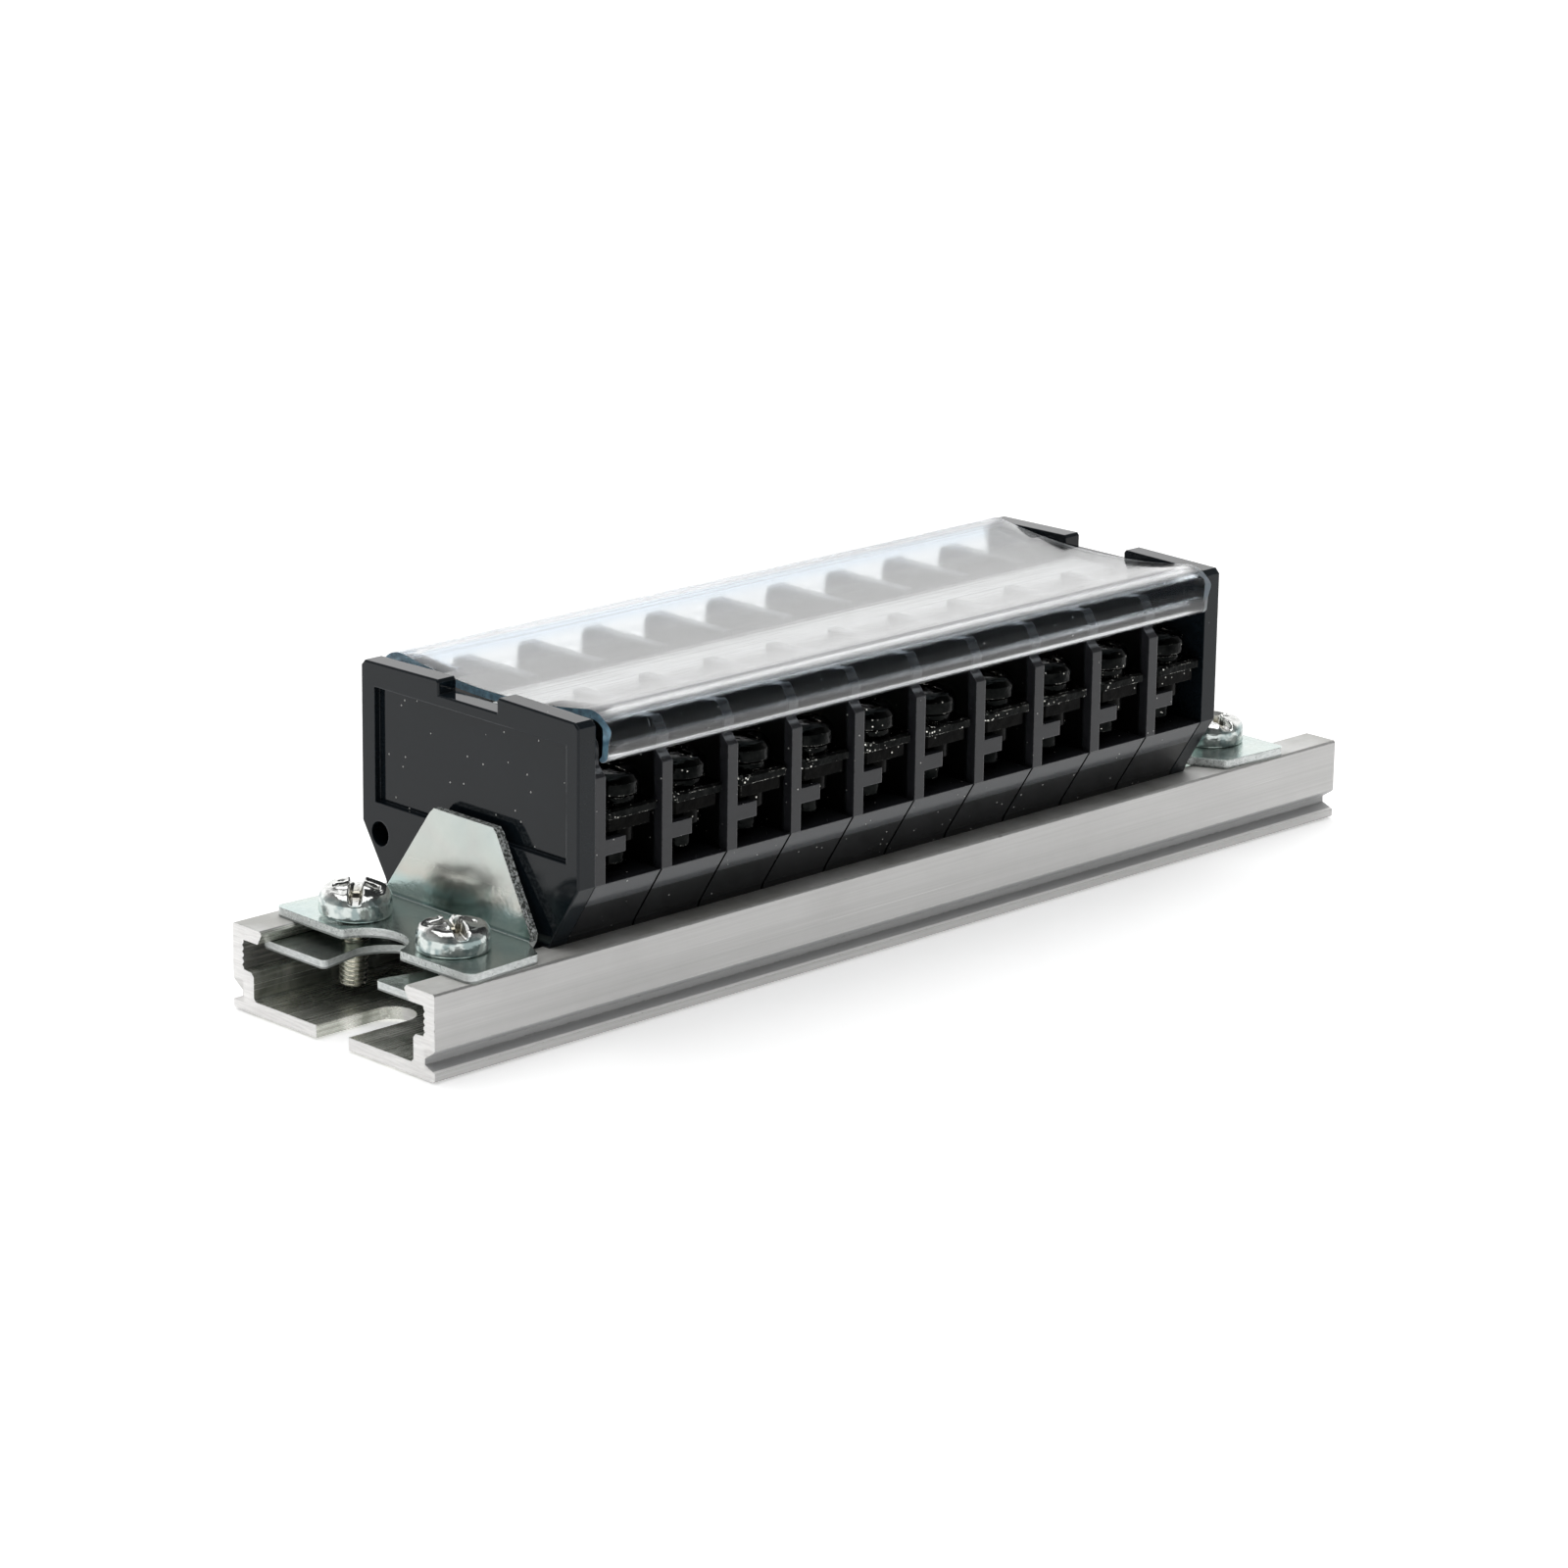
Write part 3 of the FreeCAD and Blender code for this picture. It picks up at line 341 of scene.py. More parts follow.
# ------------------------------------------------------------------ zinc plated sheet and screws
def zinc(name, base, tint, rough, dents, seed, edge_highlight=0.55, bands=False, sheared=False, metallic=1.0):
    g = Graph(name)
    p = g.place()
    moved = g.stretch(p, 1.0, 1.0, 1.0, seed, seed * 0.6, -seed)
    px, py, pz = g.split(p)
    cloud = g.noise(moved, 0.20, 4.0, 0.6)
    fine = g.noise(moved, 2.6, 4.0, 0.65)
    film = g.noise(g.stretch(moved, 1.0, 1.0, 1.0, 9.0), 0.12, 3.0, 0.5, 0.8)
    colour = g.mix(g.span(cloud, 0.30, 0.70), base, tint)
    hue = g.ramp(film, [(0.30, (0.70, 0.84, 0.86)), (0.48, (0.86, 0.88, 0.82)), (0.60, (0.88, 0.80, 0.76)), (0.72, (0.74, 0.88, 0.82))])
    colour = g.mix(0.38, colour, g.mix(1.0, colour, hue, "MULTIPLY"))
    if bands:
        wave = g.math("MULTIPLY_ADD", g.noise(moved, 0.25, 2.0, 0.5), 1.6, pz)
        height = g.span(wave, 10.0, 22.0)
        colour = g.mix(0.55, colour, g.mix(1.0, colour, g.ramp(height, [
            (0.02, (0.80, 0.90, 0.86)), (0.13, (0.52, 0.74, 0.74)), (0.22, (0.50, 0.73, 0.76)),
            (0.31, (0.84, 0.72, 0.66)), (0.42, (0.94, 0.88, 0.84)), (0.60, (0.98, 1.0, 0.98)), (1.0, (1.0, 1.0, 1.0))]), "MULTIPLY"))
    # painted highlight: the sheet's edges lightened, kept off the bend line
    edge_band = g.edge(0.12)
    fold = g.span(g.math("ABSOLUTE", g.math("SUBTRACT", pz, 10.1)), 0.25, 0.40)
    colour = g.mix(g.math("MULTIPLY", g.math("MULTIPLY", edge_band, fold), edge_highlight), colour, (0.90, 0.91, 0.90))
    # painted shade: a dark teal line in the inner corner of the bend
    crease = g.math("MULTIPLY", g.span(pz, 10.03, 10.06), g.span(pz, 10.42, 10.30))
    if bands:
        colour = g.mix(g.math("MULTIPLY", crease, 0.75), colour, (0.16, 0.24, 0.24))
    rim = None
    if sheared:
        # sheared edges of the sheet: torn and coarser than the rolled faces, lighter partly as their own bare finish
        # and partly as a painted highlight, with painted shade along their lower part
        nx, ny, nz = g.split(g.normal())
        low = g.math("MULTIPLY", g.span(pz, 10.02, 9.98), g.span(g.math("ABSOLUTE", nz), 0.75, 0.55))
        flank = g.math("MULTIPLY", g.span(pz, 10.0, 10.1), g.span(g.math("ABSOLUTE", nx), 0.80, 0.60))
        rim = g.math("MAXIMUM", low, flank)
        torn = g.noise(g.stretch(moved, 1.6, 1.6, 5.0), 1.0, 4.0, 0.7)
        glint = g.noise(moved, 3.4, 4.0, 0.75)
        along = g.mix(g.span(torn, 0.35, 0.65), (0.66, 0.70, 0.69), (0.95, 0.98, 0.97))
        # painted shade: the lower part of each edge darkened
        under = g.math("MAXIMUM", g.math("MULTIPLY", g.span(pz, 9.27, 9.20), g.span(pz, 8.5, 8.6)), g.span(pz, 6.76, 6.70))
        along = g.mix(g.math("MULTIPLY", under, 0.8), along, (0.20, 0.22, 0.21))
        along = g.mix(g.math("MULTIPLY", flank, g.span(glint, 0.56, 0.46)), along, (0.10, 0.11, 0.10))
        colour = g.mix(rim, colour, along)
    spot = specks(g, moved, 0.8, 0.10, 0.04)
    colour = g.mix(g.math("MULTIPLY", spot, 0.5), colour, (0.20, 0.21, 0.20))
    roughness = g.math("MULTIPLY_ADD", g.span(fine, 0.3, 0.75), 0.10, rough)
    roughness = g.math("MULTIPLY_ADD", g.span(cloud, 0.4, 0.8), 0.06, roughness)
    n = g.rounded(0.10)
    n = g.bump(g.noise(moved, 0.9, 3.0, 0.55), 0.16, dents, n)
    n = g.bump(g.noise(moved, 11.0, 2.0, 0.5), 0.008, 0.4, n)
    metal = metallic
    if bands:
        metal = g.math("MULTIPLY_ADD", g.span(pz, 11.0, 15.0), -0.32, metallic)
    if sheared:
        metal = g.math("MULTIPLY", metal, g.math("MULTIPLY_ADD", rim, -0.42, 1.0))
        roughness = g.math("MULTIPLY_ADD", rim, 0.16, roughness)
        n = g.bump(g.math("MULTIPLY", torn, rim), 0.22, 0.8, n)
    g.surface(Base_Color=colour, Metallic=metal, Roughness=roughness, Normal=n)
    return g.mat


sheet_zinc = zinc("bracket_zinc", (0.55, 0.595, 0.58), (0.65, 0.685, 0.66), 0.08, 0.10, 3.0, bands=True, sheared=True)
clamp_zinc = zinc("clamp_zinc", (0.48, 0.55, 0.52), (0.60, 0.66, 0.62), 0.13, 0.15, 11.0, sheared=True, metallic=0.86)
give(sheet_zinc, "end_bracket_left", "end_bracket_right")
give(clamp_zinc, "clamp_plate_left", "clamp_plate_right")


def bright_screw():
    """Glossy zinc on the bracket screws: teal on the side, a darker olive in the recess as painted shade, straw painted
    lighter on the thread as painted light.
    """
    g = Graph("screw_zinc")
    p = g.place()
    px, py, pz = g.split(p)
    dx = g.math("SUBTRACT", g.math("ABSOLUTE", g.math("ADD", px, 2.16)), 56.24)
    dy = g.math("SUBTRACT", g.math("ABSOLUTE", g.math("ADD", py, 0.6)), 7.5)
    r = g.math("SQRT", g.math("MULTIPLY_ADD", dx, dx, g.math("MULTIPLY", dy, dy)))
    cloud = g.noise(p, 0.9, 4.0, 0.6)
    fine = g.noise(p, 4.0, 4.0, 0.65)
    colour = g.mix(g.span(cloud, 0.32, 0.68), (0.54, 0.545, 0.53), (0.74, 0.745, 0.73))
    side = g.math("MULTIPLY", g.span(r, 3.35, 3.65), g.span(pz, 9.9, 10.0))
    colour = g.mix(g.math("MULTIPLY", side, 0.7), colour, g.mix(g.span(g.noise(p, 0.7, 2.0, 0.5), 0.44, 0.56), (0.20, 0.31, 0.31), (0.74, 0.82, 0.79)))
    # painted shade: the cross recess darker olive
    recess = g.math("MULTIPLY", g.span(r, 2.5, 1.6), g.span(pz, 12.75, 11.9))
    recess = g.math("MULTIPLY", recess, g.span(pz, 9.9, 10.0))
    colour = g.mix(g.math("MULTIPLY", recess, 0.75), colour, (0.33, 0.30, 0.21))
    # painted light: the thread lightened to straw
    thread = g.span(pz, 9.9, 9.6)
    colour = g.mix(g.math("MULTIPLY", thread, 0.8), colour, g.mix(g.span(cloud, 0.4, 0.6), (0.86, 0.84, 0.74), (0.92, 0.89, 0.78)))
    spot = specks(g, p, 1.6, 0.12, 0.06)
    colour = g.mix(g.math("MULTIPLY", spot, 0.6), colour, (0.12, 0.12, 0.11))
    roughness = g.math("MULTIPLY_ADD", g.span(fine, 0.3, 0.75), 0.09, 0.07)
    plain = g.span(pz, 9.6, 9.9)
    n = g.bump(g.math("MULTIPLY", g.noise(p, 1.1, 3.0, 0.55), plain), 0.16, 0.35)
    n = g.bump(g.math("MULTIPLY", fine, plain), 0.02, 0.3, n)
    g.surface(Base_Color=colour, Metallic=g.math("MULTIPLY_ADD", side, -0.22, 0.95), Roughness=roughness, Normal=n)
    return g.mat


screw_zinc = bright_screw()


def dark_metal(name, base, tint, rough, dents, seed, glints, washer=False):
    """Nearly black metal as painted shade of the dark bays, with painted highlights on the rims and sparse painted
    glints.
    """
    g = Graph(name)
    p = g.place()
    moved = g.stretch(p, 1.0, 1.0, 1.0, seed, seed * 0.6, -seed)
    cloud = g.noise(moved, 0.8, 4.0, 0.6)
    fine = g.noise(moved, 3.0, 4.0, 0.65)
    colour = g.mix(g.span(cloud, 0.35, 0.70), base, tint)
    # painted highlight: rims lightened in patches, faint except on the washers
    edge_band = g.math("MULTIPLY", g.edge(0.16), g.span(g.noise(moved, 0.75, 4.0, 0.75), 0.52, 0.60))
    edge_band = g.math("MULTIPLY", edge_band, g.span(g.noise(moved, 5.0, 3.0, 0.7), 0.42, 0.58))
    if not washer:
        edge_band = g.math("MULTIPLY", edge_band, 0.15)
    # painted glints: sparse specks, partly in clusters
    cluster = g.span(g.noise(g.stretch(moved, 1.0, 1.0, 1.0, 19.0), 0.32, 2.0, 0.5), 0.50, 0.62)
    glint = g.math("MULTIPLY", specks(g, moved, 2.0, 0.24, 0.28), cluster)
    glint = g.math("MAXIMUM", glint, specks(g, moved, 1.6, 0.16, glints))
    if washer:
        # painted glints clustered at the near-left corner of each washer
        x, y, z = g.split(p)
        u = g.math("SUBTRACT", g.math("FRACT", g.math("MULTIPLY_ADD", x, 1.0 / 9.0, (47.16 - 5.175) / 9.0 + 0.5)), 0.5)
        spot = g.math("MULTIPLY", g.span(u, -0.19, -0.27), g.span(g.math("ABSOLUTE", y), 14.3, 15.3))
        spot = g.math("MULTIPLY", spot, g.math("MULTIPLY", g.span(z, 21.9, 22.1), g.span(z, 24.6, 24.2)))
        spark = specks(g, g.stretch(p, 1.0, 1.0, 1.0, 5.0, 2.0, 8.0), 2.7, 0.34, 0.62)
        glint = g.math("MAXIMUM", glint, g.math("MULTIPLY", spot, spark))
    painted_glints = g.math("MAXIMUM", edge_band, glint, clamp=True)
    colour = g.mix(painted_glints, colour, (0.86, 0.86, 0.80))
    roughness = g.math("MULTIPLY_ADD", g.span(fine, 0.3, 0.75), 0.10, rough)
    roughness = g.math("MULTIPLY_ADD", painted_glints, 0.18, roughness)
    n = g.rounded(0.12)
    n = g.bump(g.noise(moved, 0.9, 3.0, 0.55), 0.18, dents, n)
    n = g.bump(painted_glints, 0.05, 0.5, n)
    g.surface(Base_Color=colour, Metallic=1.0, Roughness=roughness, Normal=n)
    return g.mat


# near-black base colours: painted shade for the terminal screws and conductor bars inside the dark bays
give(dark_metal("terminal_steel", (0.0020, 0.0024, 0.0024), (0.009, 0.0098, 0.0094), 0.06, 0.7, 37.0, 0.03, washer=True),
     *[n for n in nodes if n.startswith("terminal_screw")])
give(dark_metal("conductor_brass", (0.0015, 0.0015, 0.0015), (0.004, 0.004, 0.0036), 0.16, 0.3, 61.0, 0.02),
     *[n for n in nodes if n.startswith("conductor_bar")])


# ------------------------------------------------------------------ bracket screws
PITCH, SHANK, SHANK_LEN = 0.5, 1.495, 7.79


def smooth(x):
    x = min(1.0, max(0.0, x))
    return x * x * (3.0 - 2.0 * x)


def head_base(r):
    """Height of the plain pan head at radius r, millimetres above its seat."""
    if r <= 2.8:
        return 3.00 - 0.36 * (r / 2.8) ** 2
    t = min(1.0, (r - 2.8) / 0.94)
    return 1.36 + 1.28 * math.sqrt(max(0.0, 1.0 - t * t))


def head_top(x, y, turn, seed):
    """Pan head with a slot and a rubbed cross recess, burred lips and dents."""
    r = math.hypot(x, y)
    c, k = math.cos(turn), math.sin(turn)
    u, v = x * c + y * k, y * c - x * k
    base = head_base(r)
    wave = math.sin(1.6 * x + seed) * math.sin(1.8 * y + 1.7 * seed) + 0.4 * math.sin(2.9 * x - 2.2 * y + 2.1 * seed)
    base += 0.08 * wave * smooth((3.6 - r) / 0.9)
    for i in range(3):
        a = seed * (1.3 + i) + 2.1 * i
        q = 2.1 + 0.35 * i
        d2 = (x - q * math.cos(a)) ** 2 + (y - q * math.sin(a)) ** 2
        base -= (0.22 - 0.04 * i) * math.exp(-d2 / (0.26 + 0.10 * i))
    au, av = abs(u), abs(v)
    lip = 0.12 * math.exp(-((av - 0.92) / 0.24) ** 2) * (0.6 + 0.4 * math.sin(2.1 * u + seed)) * smooth((3.3 - r) / 0.7)
    lip += 0.11 * math.exp(-((au - 0.90) / 0.24) ** 2) * (0.6 + 0.4 * math.sin(2.3 * v - seed)) * smooth((2.5 - av) / 0.6)
    base = min(base + lip, 3.075)
    slot_in = smooth((0.82 - av) / 0.46)
    z = base * (1.0 - slot_in) + min(base, 1.85) * slot_in
    w = 0.82 - 0.12 * av / 2.0
    cross_in = smooth((w - au) / 0.46) * smooth((2.5 - av) / 0.6)
    floor_z = 1.30 + 0.34 * av / 2.0
    z = z * (1.0 - cross_in) + min(z, floor_z) * cross_in
    z -= 0.42 * smooth((1.15 - r) / 0.85)
    return max(z, 0.35)


def shell(verts, faces, rings, segs, profile, close_start=None, close_end=None):
    """Adds rings of points and the quads between them; profile gives each point."""
    first = len(verts)
    for i in range(rings):
        for j in range(segs):
            verts.append(profile(i, 2.0 * math.pi * j / segs))
    for i in range(rings - 1):
        for j in range(segs):
            a, b = first + i * segs + j, first + i * segs + (j + 1) % segs
            faces.append((a, a + segs, b + segs, b))
    if close_start is not None:
        verts.append(close_start)
        for j in range(segs):
            faces.append((len(verts) - 1, first + j, first + (j + 1) % segs))
    if close_end is not None:
        verts.append(close_end)
        last = first + (rings - 1) * segs
        for j in range(segs):
            faces.append((len(verts) - 1, last + (j + 1) % segs, last + j))


def add_screw(verts, faces, cx, cy, seat, turn, seed, askew):
    """One closed screw; askew leans it about the X axis, with the seat lifted to suit."""
    ca, sa = math.cos(askew), math.sin(askew)
    seat += 3.6 * sa

    def stand(x, y, z):
        return (cx + x, cy + y * ca - z * sa, seat + y * sa + z * ca)

    radii = [0.08 + 0.084 * i for i in range(42)]
    radii += [3.56, 3.61, 3.655, 3.69, 3.715, 3.735, 3.745]
    flank = [(3.748, 1.20), (3.748, 0.80), (3.748, 0.50), (3.74, 0.28), (3.70, 0.12), (3.62, 0.02), (3.50, 0.0), (2.4, 0.0), (1.3, 0.0)]

    def head(i, a):
        if i < len(radii):
            r = radii[i]
            x, y = r * math.cos(a), r * math.sin(a)
            return stand(x, y, head_top(x, y, turn, seed))
        r, z = flank[i - len(radii)]
        x, y = r * math.cos(a), r * math.sin(a)
        return stand(x, y, min(z, head_top(x, y, turn, seed)))

    shell(verts, faces, len(radii) + len(flank), 132, head,
          stand(0.0, 0.0, head_top(0.0, 0.0, turn, seed)), stand(0.0, 0.0, 0.0))
    steps = 150

    def shank(i, a):
        z = -SHANK_LEN * i / (steps - 1.0)
        phase = (z / PITCH + a / (2.0 * math.pi)) % 1.0
        tri = abs(2.0 * phase - 1.0)
        cut = 0.27 * min(1.0, max(0.0, (tri - 0.10) / 0.80)) * smooth((-z - 0.3) / 0.4)
        r = min(SHANK - cut, 1.12 + max(0.0, z + SHANK_LEN) * 0.9)
        return stand(r * math.cos(a), r * math.sin(a), z)

    shell(verts, faces, steps, 48, shank, stand(0.0, 0.0, 0.0), stand(0.0, 0.0, -SHANK_LEN))


def bracket_screws(name, node, places):
    verts, faces = [], []
    for cx, cy, turn, seed, askew in places:
        add_screw(verts, faces, cx, cy, 10.04, math.radians(turn), seed, math.radians(askew))
    mesh = bpy.data.meshes.new(name)
    mesh.from_pydata([(x / MM, y / MM, z / MM) for x, y, z in verts], [], faces)
    mesh.update()
    for poly in mesh.polygons:
        poly.use_smooth = True
    mesh.materials.append(screw_zinc)
    obj = bpy.data.objects.new(name, mesh)
    scene.collection.objects.link(obj)
    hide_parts(node)
    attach(obj, "block")
    return obj


bracket_screws("machine_screws_left", "bracket_screws_left", [(-58.4, 6.9, 48.0, 1.3, 3.4), (-58.4, -8.1, 64.0, 4.6, 0.0)])
bracket_screws("machine_screws_right", "bracket_screws_right", [(54.08, 6.9, 20.0, 2.4, 0.0), (54.08, -8.1, 75.0, 7.9, 0.0)])


# ------------------------------------------------------------------ clear cover
def clear_cover():
    g = Graph("cover_clear")
    p = g.place()
    nx, ny, nz = g.split(g.normal())
    px, py, pz = g.split(p)
    top = g.span(nz, 0.955, 0.985)
    cut = g.span(g.math("ABSOLUTE", nx), 0.6, 0.9)
    draw = g.noise(g.stretch(p, 0.02, 2.2, 2.2), 1.0, 4.0, 0.65)
    cloud = g.noise(p, 0.16, 3.0, 0.55)
    lint = specks(g, p, 1.3, 0.07, 0.05)
    hair = specks(g, g.stretch(p, 1.0, 1.0, 1.0, 13.0, 7.0, 3.0), 0.5, 0.05, 0.10)
    dust = g.math("MAXIMUM", lint, hair)
    shoulder = g.math("MULTIPLY", g.span(g.math("ABSOLUTE", py), 11.5, 14.5, smooth=True), g.span(nz, 0.86, 0.95))
    streak = g.span(g.noise(g.stretch(p, 0.012, 2.6, 2.6, 3.0, 1.0), 1.0, 3.0, 0.6), 0.44, 0.62)
    roughness = g.math("MULTIPLY_ADD", top, 0.055, g.span(draw, 0.3, 0.7, 0.02, 0.06))
    roughness = g.math("MULTIPLY_ADD", cut, 0.25, roughness)
    rolled = g.math("MULTIPLY", g.span(g.math("ABSOLUTE", py), 12.9, 14.2), g.math("MULTIPLY", g.span(nz, 0.50, 0.80), g.span(nz, 1.0, 0.97)))
    roughness = g.math("MULTIPLY_ADD", g.math("MAXIMUM", rolled, g.span(pz, 29.4, 28.9)), 0.17, roughness)
    n = g.bump(draw, 0.03, 0.35)
    n = g.bump(g.noise(p, 0.12, 2.0, 0.5), 0.20, 0.12, n)
    clear = g.node("ShaderNodeBsdfPrincipled")
    g.put(clear.inputs["Base Color"], g.mix(cut, (0.97, 0.985, 0.99), (0.50, 0.74, 0.90)))
    clear.inputs["Transmission Weight"].default_value = 1.0
    clear.inputs["IOR"].default_value = 1.49
    g.put(clear.inputs["Roughness"], roughness)
    g.put(clear.inputs["Normal"], n)
    # the shoulders hardly mirror: a calmer, slightly blue version of the same clear plastic
    calm = g.node("ShaderNodeBsdfPrincipled")
    g.put(calm.inputs["Base Color"], (0.76, 0.86, 0.96))
    calm.inputs["Transmission Weight"].default_value = 1.0
    calm.inputs["IOR"].default_value = 1.13
    g.put(calm.inputs["Roughness"], roughness)
    g.put(calm.inputs["Normal"], n)
    zone = g.math("MULTIPLY", g.span(g.math("ABSOLUTE", ny), 0.42, 0.60), g.span(pz, 29.7, 30.6, smooth=True))
    zone = g.math("MULTIPLY", zone, g.span(g.math("ABSOLUTE", nx), 0.6, 0.5))
    sides = g.node("ShaderNodeMixShader")
    g.put(sides.inputs[0], zone)
    g.tree.links.new(clear.outputs[0], sides.inputs[1])
    g.tree.links.new(calm.outputs[0], sides.inputs[2])
    # painted shade and light on the cut ends: dark blue at the near end, light grey at the far end
    far_end = g.span(px, -10.0, 10.0)
    haze = g.node("ShaderNodeBsdfPrincipled")
    soft_grey = g.mix(shoulder, g.mix(g.span(py, 4.0, 9.0, smooth=True), (0.93, 0.94, 0.95), (0.54, 0.56, 0.58)), (0.50, 0.51, 0.53))
    g.put(haze.inputs["Base Color"], g.mix(cut, soft_grey, g.mix(far_end, g.mix(g.span(g.noise(p, 1.3, 4.0, 0.7), 0.38, 0.62), (0.03, 0.13, 0.24), (0.24, 0.50, 0.66)), (0.86, 0.89, 0.91))))
    haze.inputs["Roughness"].default_value = 0.5
    amount = g.span(cloud, 0.3, 0.7, 0.015, 0.040)
    amount = g.math("MULTIPLY_ADD", g.math("MULTIPLY", shoulder, streak), 0.42, amount)
    rear = g.span(py, 4.0, 9.0, smooth=True)
    amount = g.math("MULTIPLY_ADD", rear, 0.15, amount)
    top = g.math("MAXIMUM", top, shoulder)
    amount = g.math("MULTIPLY", amount, g.math("MULTIPLY_ADD", top, 0.99, 0.01))
    amount = g.math("MAXIMUM", amount, g.math("MULTIPLY", dust, 0.9))
    amount = g.math("MAXIMUM", amount, g.math("MULTIPLY", cut, 0.62), clamp=True)
    both = g.node("ShaderNodeMixShader")
    g.put(both.inputs[0], amount)
    g.tree.links.new(sides.outputs[0], both.inputs[1])
    g.tree.links.new(haze.outputs[0], both.inputs[2])
    g.tree.links.new(both.outputs[0], g.out.inputs["Surface"])
    return g.mat


def round_run(points, times=3):
    """Corner cutting that keeps both ends of an open run."""
    for _ in range(times):
        out = [points[0]]
        for (ax, ay), (bx, by) in zip(points, points[1:]):
            out.append((0.75 * ax + 0.25 * bx, 0.75 * ay + 0.25 * by))
            out.append((0.25 * ax + 0.75 * bx, 0.25 * ay + 0.75 * by))
        out.append(points[-1])
        points = out
    return points


def resample(points, count):
    """The same open run with evenly spaced points."""
    at = [0.0]
    for (ax, ay), (bx, by) in zip(points, points[1:]):
        at.append(at[-1] + math.hypot(bx - ax, by - ay))
    out, k = [], 0
    for i in range(count):
        want = at[-1] * i / (count - 1.0)
        while k < len(points) - 2 and at[k + 1] < want:
            k += 1
        f = (want - at[k]) / max(1e-9, at[k + 1] - at[k])
        out.append((points[k][0] + (points[k + 1][0] - points[k][0]) * f, points[k][1] + (points[k + 1][1] - points[k][1]) * f))
    return out


def cover_half(shift):
    """Half section from the valley to the bead; shift 0 is the outer run, 0.9 the inner run."""
    apex_y, apex_z, crest = 14.4, 33.44, 3.4
    lean = math.radians(9.85)
    dish_y, dish_z = apex_y - crest * math.sin(lean), apex_z - crest * (1.0 - math.cos(lean))
    dish_r = dish_y / math.sin(lean)
    dish_c = dish_z + dish_r * math.cos(lean)
    run = []
    for i in range(25):
        a = lean * i / 24.0
        run.append(((dish_r + shift) * math.sin(a), dish_c - (dish_r + shift) * math.cos(a)))
    for i in range(1, 25):
        a = -lean + (lean + math.radians(40.0)) * i / 24.0
        run.append((apex_y + (crest - shift) * math.sin(a), apex_z - crest + (crest - shift) * math.cos(a)))
    if shift == 0.0:
        low = [run[-1], (17.02, 32.28), (17.34, 32.00), (17.44, 31.66), (17.26, 31.1), (17.03, 30.4), (16.97, 29.8), (16.94, 29.2),
               (16.86, 28.76), (16.45, 28.42), (15.95, 28.27), (15.70, 28.33), (15.66, 28.50)]
    else:
        low = [run[-1], (16.12, 31.86), (16.14, 31.2), (16.12, 30.4), (16.10, 29.6), (16.06, 29.05), (15.88, 28.84), (15.74, 28.72)]
    return run + round_run(low)[1:]


def cover_mesh(mat):
    half_out, half_in = resample(cover_half(0.0), 72), resample(cover_half(0.9), 72)
    outer = [(-y, z) for y, z in reversed(half_out)] + half_out[1:]
    inner = [(-y, z) for y, z in reversed(half_in)] + half_in[1:]
    n = len(outer)
    inset_o, inset_i = [], []
    for (ay, az), (by, bz) in zip(outer, inner):
        d = math.hypot(by - ay, bz - az)
        uy, uz = (by - ay) / d, (bz - az) / d
        inset_o.append((ay + uy * 0.05, az + uz * 0.05))
        inset_i.append((by - uy * 0.05, bz - uz * 0.05))
    full, small = outer + inner[::-1], inset_o + inset_i[::-1]
    x0, x1, steps = -45.96, 42.64, 30
    rings = [(x0, small), (x0 + 0.05, full)]
    rings += [(x0 + (x1 - x0) * i / steps, full) for i in range(1, steps)]
    rings += [(x1 - 0.05, full), (x1, small)]
    verts, faces = [], []
    m = 2 * n
    for x, loop in rings:
        verts += [(x / MM, y / MM, z / MM) for y, z in loop]
    for i in range(len(rings) - 1):
        for j in range(m):
            a, b = i * m + j, i * m + (j + 1) % m
            faces.append((a, a + m, b + m, b))
    last = (len(rings) - 1) * m
    for j in range(n - 1):
        a, b, c, d = j, j + 1, m - 2 - j, m - 1 - j
        faces.append((a, b, c, d))
        faces.append((last + a, last + d, last + c, last + b))
    mesh = bpy.data.meshes.new("clear_cover")
    mesh.from_pydata(verts, [], faces)
    mesh.update()
    for poly in mesh.polygons:
        poly.use_smooth = True
    mesh.set_sharp_from_angle(angle=math.radians(32.0))
    mesh.materials.append(mat)
    obj = bpy.data.objects.new("clear_cover", mesh)
    scene.collection.objects.link(obj)
    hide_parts("cover")
    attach(obj, "cover")
    return obj


cover_mesh(clear_cover())


def marker():
    g = Graph("marker_white")
    p = g.place()
    fibre = g.noise(g.stretch(p, 0.3, 3.0, 3.0), 1.0, 4.0, 0.6)
    colour = g.mix(g.span(fibre, 0.3, 0.7), (0.80, 0.80, 0.79), (0.90, 0.90, 0.89))
    g.surface(Base_Color=colour, Roughness=g.span(fibre, 0.3, 0.7, 0.45, 0.60), Normal=g.bump(fibre, 0.02, 0.4, g.rounded(0.1)))
    return g.mat


give(marker(), "marker_strip")


# ------------------------------------------------------------------ floor, world and lights
def floor():
    mesh = bpy.data.meshes.new("floor")
    s = 4.0
    mesh.from_pydata([(-s, -s, 0.0), (s, -s, 0.0), (s, s, 0.0), (-s, s, 0.0)], [], [(0, 1, 2, 3)])
    obj = bpy.data.objects.new("floor", mesh)
    obj.location.z = -0.0002
    scene.collection.objects.link(obj)
    g = Graph("floor_white")
    # the white table is lit through from below as well
    g.surface(Base_Color=(0.93, 0.93, 0.93), Roughness=0.9, Emission_Color=(1.0, 1.0, 1.0), Emission_Strength=0.37)
    mesh.materials.append(g.mat)


floor()

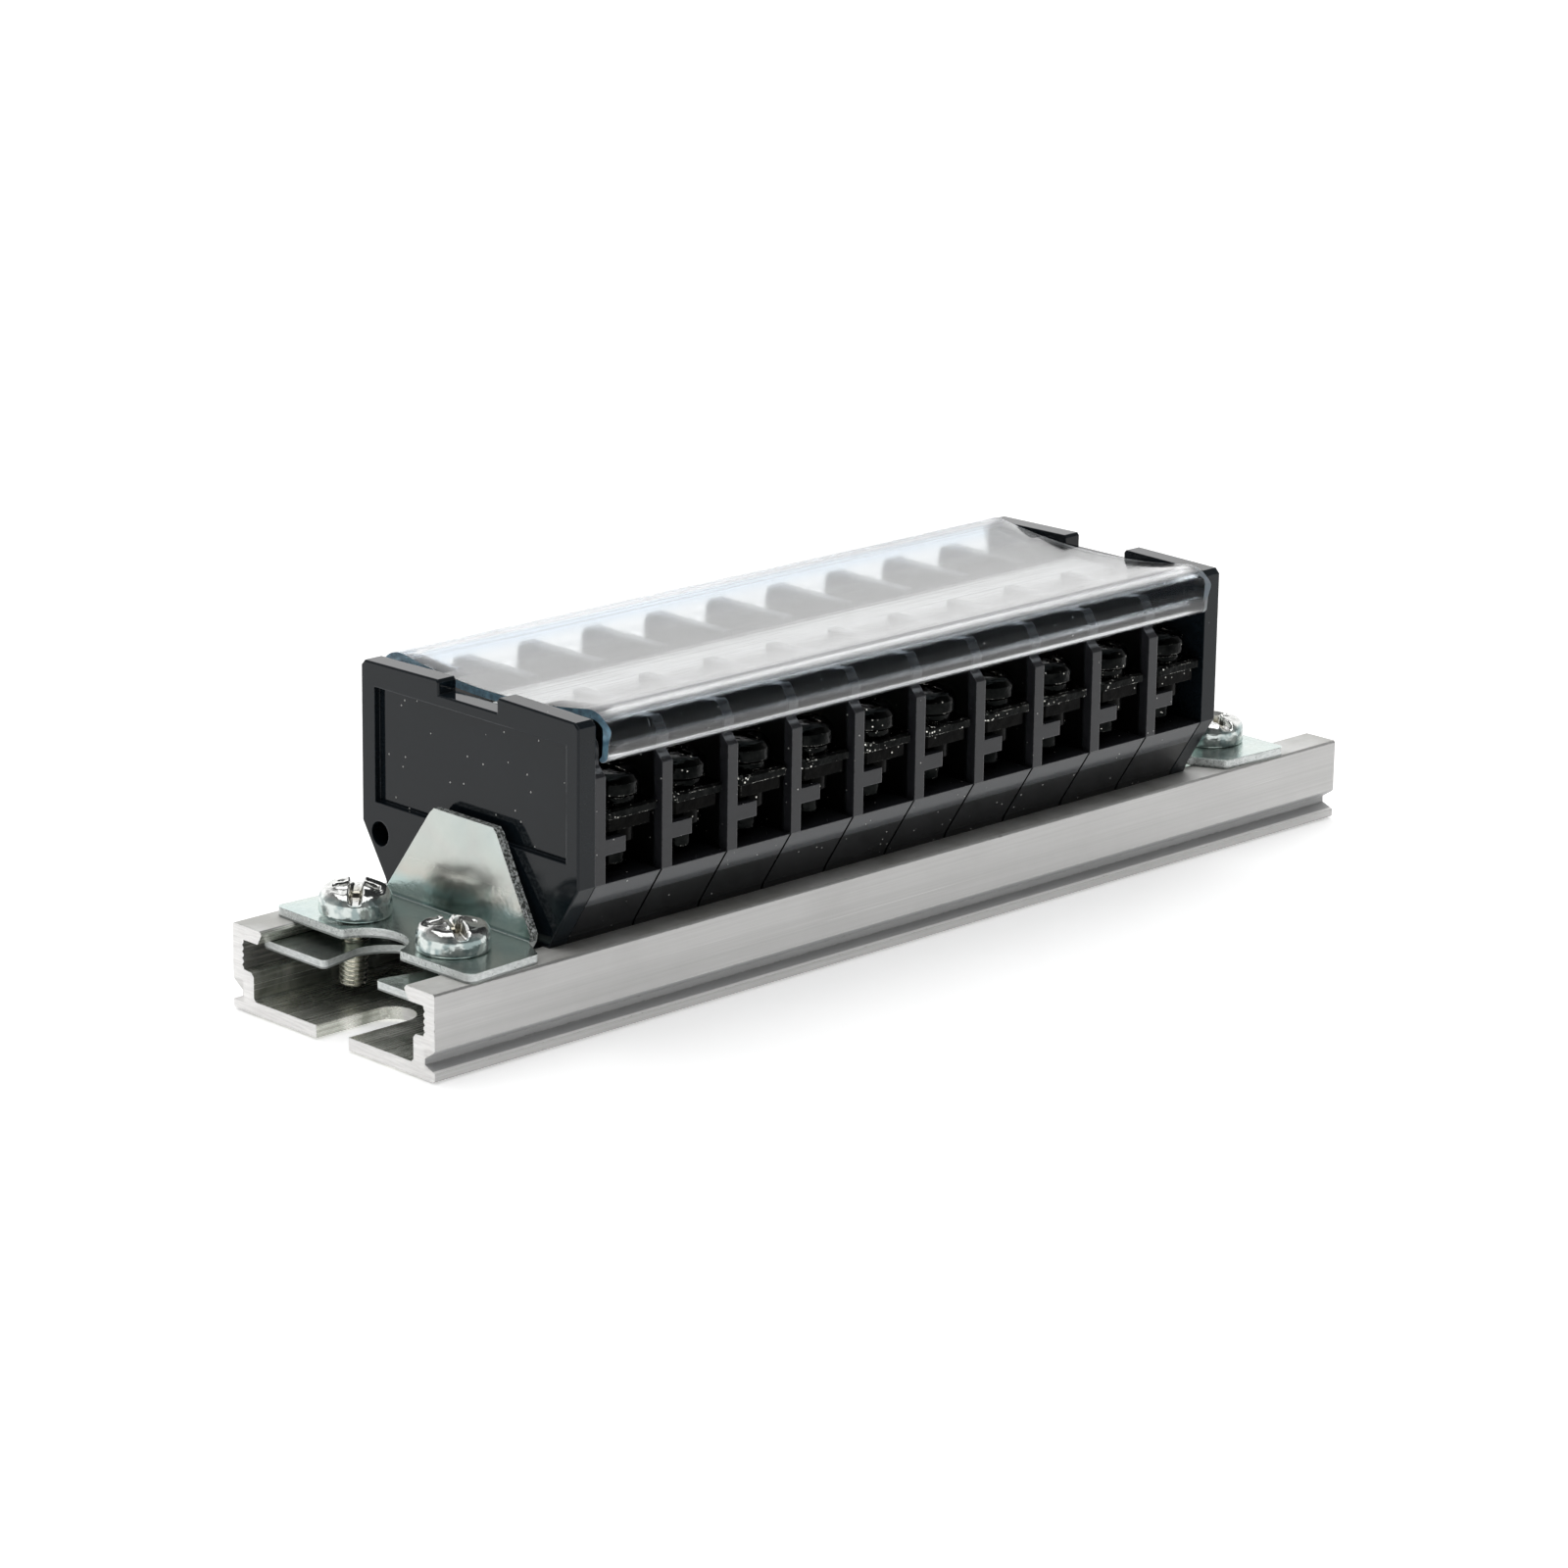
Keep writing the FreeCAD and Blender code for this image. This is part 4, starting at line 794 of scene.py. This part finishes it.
def studio_world():
    """White sweep behind the object, dimmer sides, dark room on the camera's side."""
    world = bpy.data.worlds.new("studio")
    world.use_nodes = True
    scene.world = world
    g = Graph.__new__(Graph)
    g.mat, g.tree = None, world.node_tree
    g.tree.nodes.clear()
    g.out = g.tree.nodes.new("ShaderNodeOutputWorld")
    x, y, z = g.split(g.node("ShaderNodeTexCoord").outputs["Generated"])
    behind = g.math("MULTIPLY_ADD", x, 0.70, g.math("MULTIPLY", y, 0.714))
    across = g.math("MULTIPLY_ADD", x, 0.714, g.math("MULTIPLY", y, -0.70))
    low = g.span(z, 0.48, 0.70, 1.0, 0.12, smooth=True)
    level = g.math("MULTIPLY", g.math("MULTIPLY", g.span(behind, 0.15, 0.70, smooth=True), 1.30), low)
    level = g.math("MULTIPLY_ADD", g.span(across, 0.35, 0.95, smooth=True), 0.25, level)
    level = g.math("MULTIPLY_ADD", g.span(across, -0.35, -0.95, smooth=True), 0.35, level)
    level = g.math("ADD", level, 0.04)
    seen = g.node("ShaderNodeLightPath").outputs["Is Camera Ray"]
    level = g.math("MAXIMUM", level, g.math("MULTIPLY", seen, 0.97))
    light = g.node("ShaderNodeBackground")
    light.inputs["Color"].default_value = (1.0, 1.0, 1.0, 1.0)
    g.put(light.inputs["Strength"], level)
    g.tree.links.new(light.outputs[0], g.out.inputs["Surface"])


studio_world()


def panel(name, at, aim, width, height, power, colour=(1.0, 1.0, 1.0)):
    data = bpy.data.lights.new(name, "AREA")
    data.shape = "RECTANGLE"
    data.size, data.size_y = width, height
    data.energy = power
    data.color = colour
    obj = bpy.data.objects.new(name, data)
    obj.location = at
    obj.rotation_mode = "QUATERNION"
    obj.rotation_quaternion = (Vector(at) - Vector(aim)).to_track_quat("Z", "Y")
    scene.collection.objects.link(obj)
    return obj


panel("overhead", (-0.1, 0.1, 2.2), (0.0, 0.0, 0.0), 2.6, 2.6, 43.0)
panel("rear_box", (1.62, 1.02, 1.75), (0.0, 0.0, 0.0), 1.3, 0.8, 3.0)
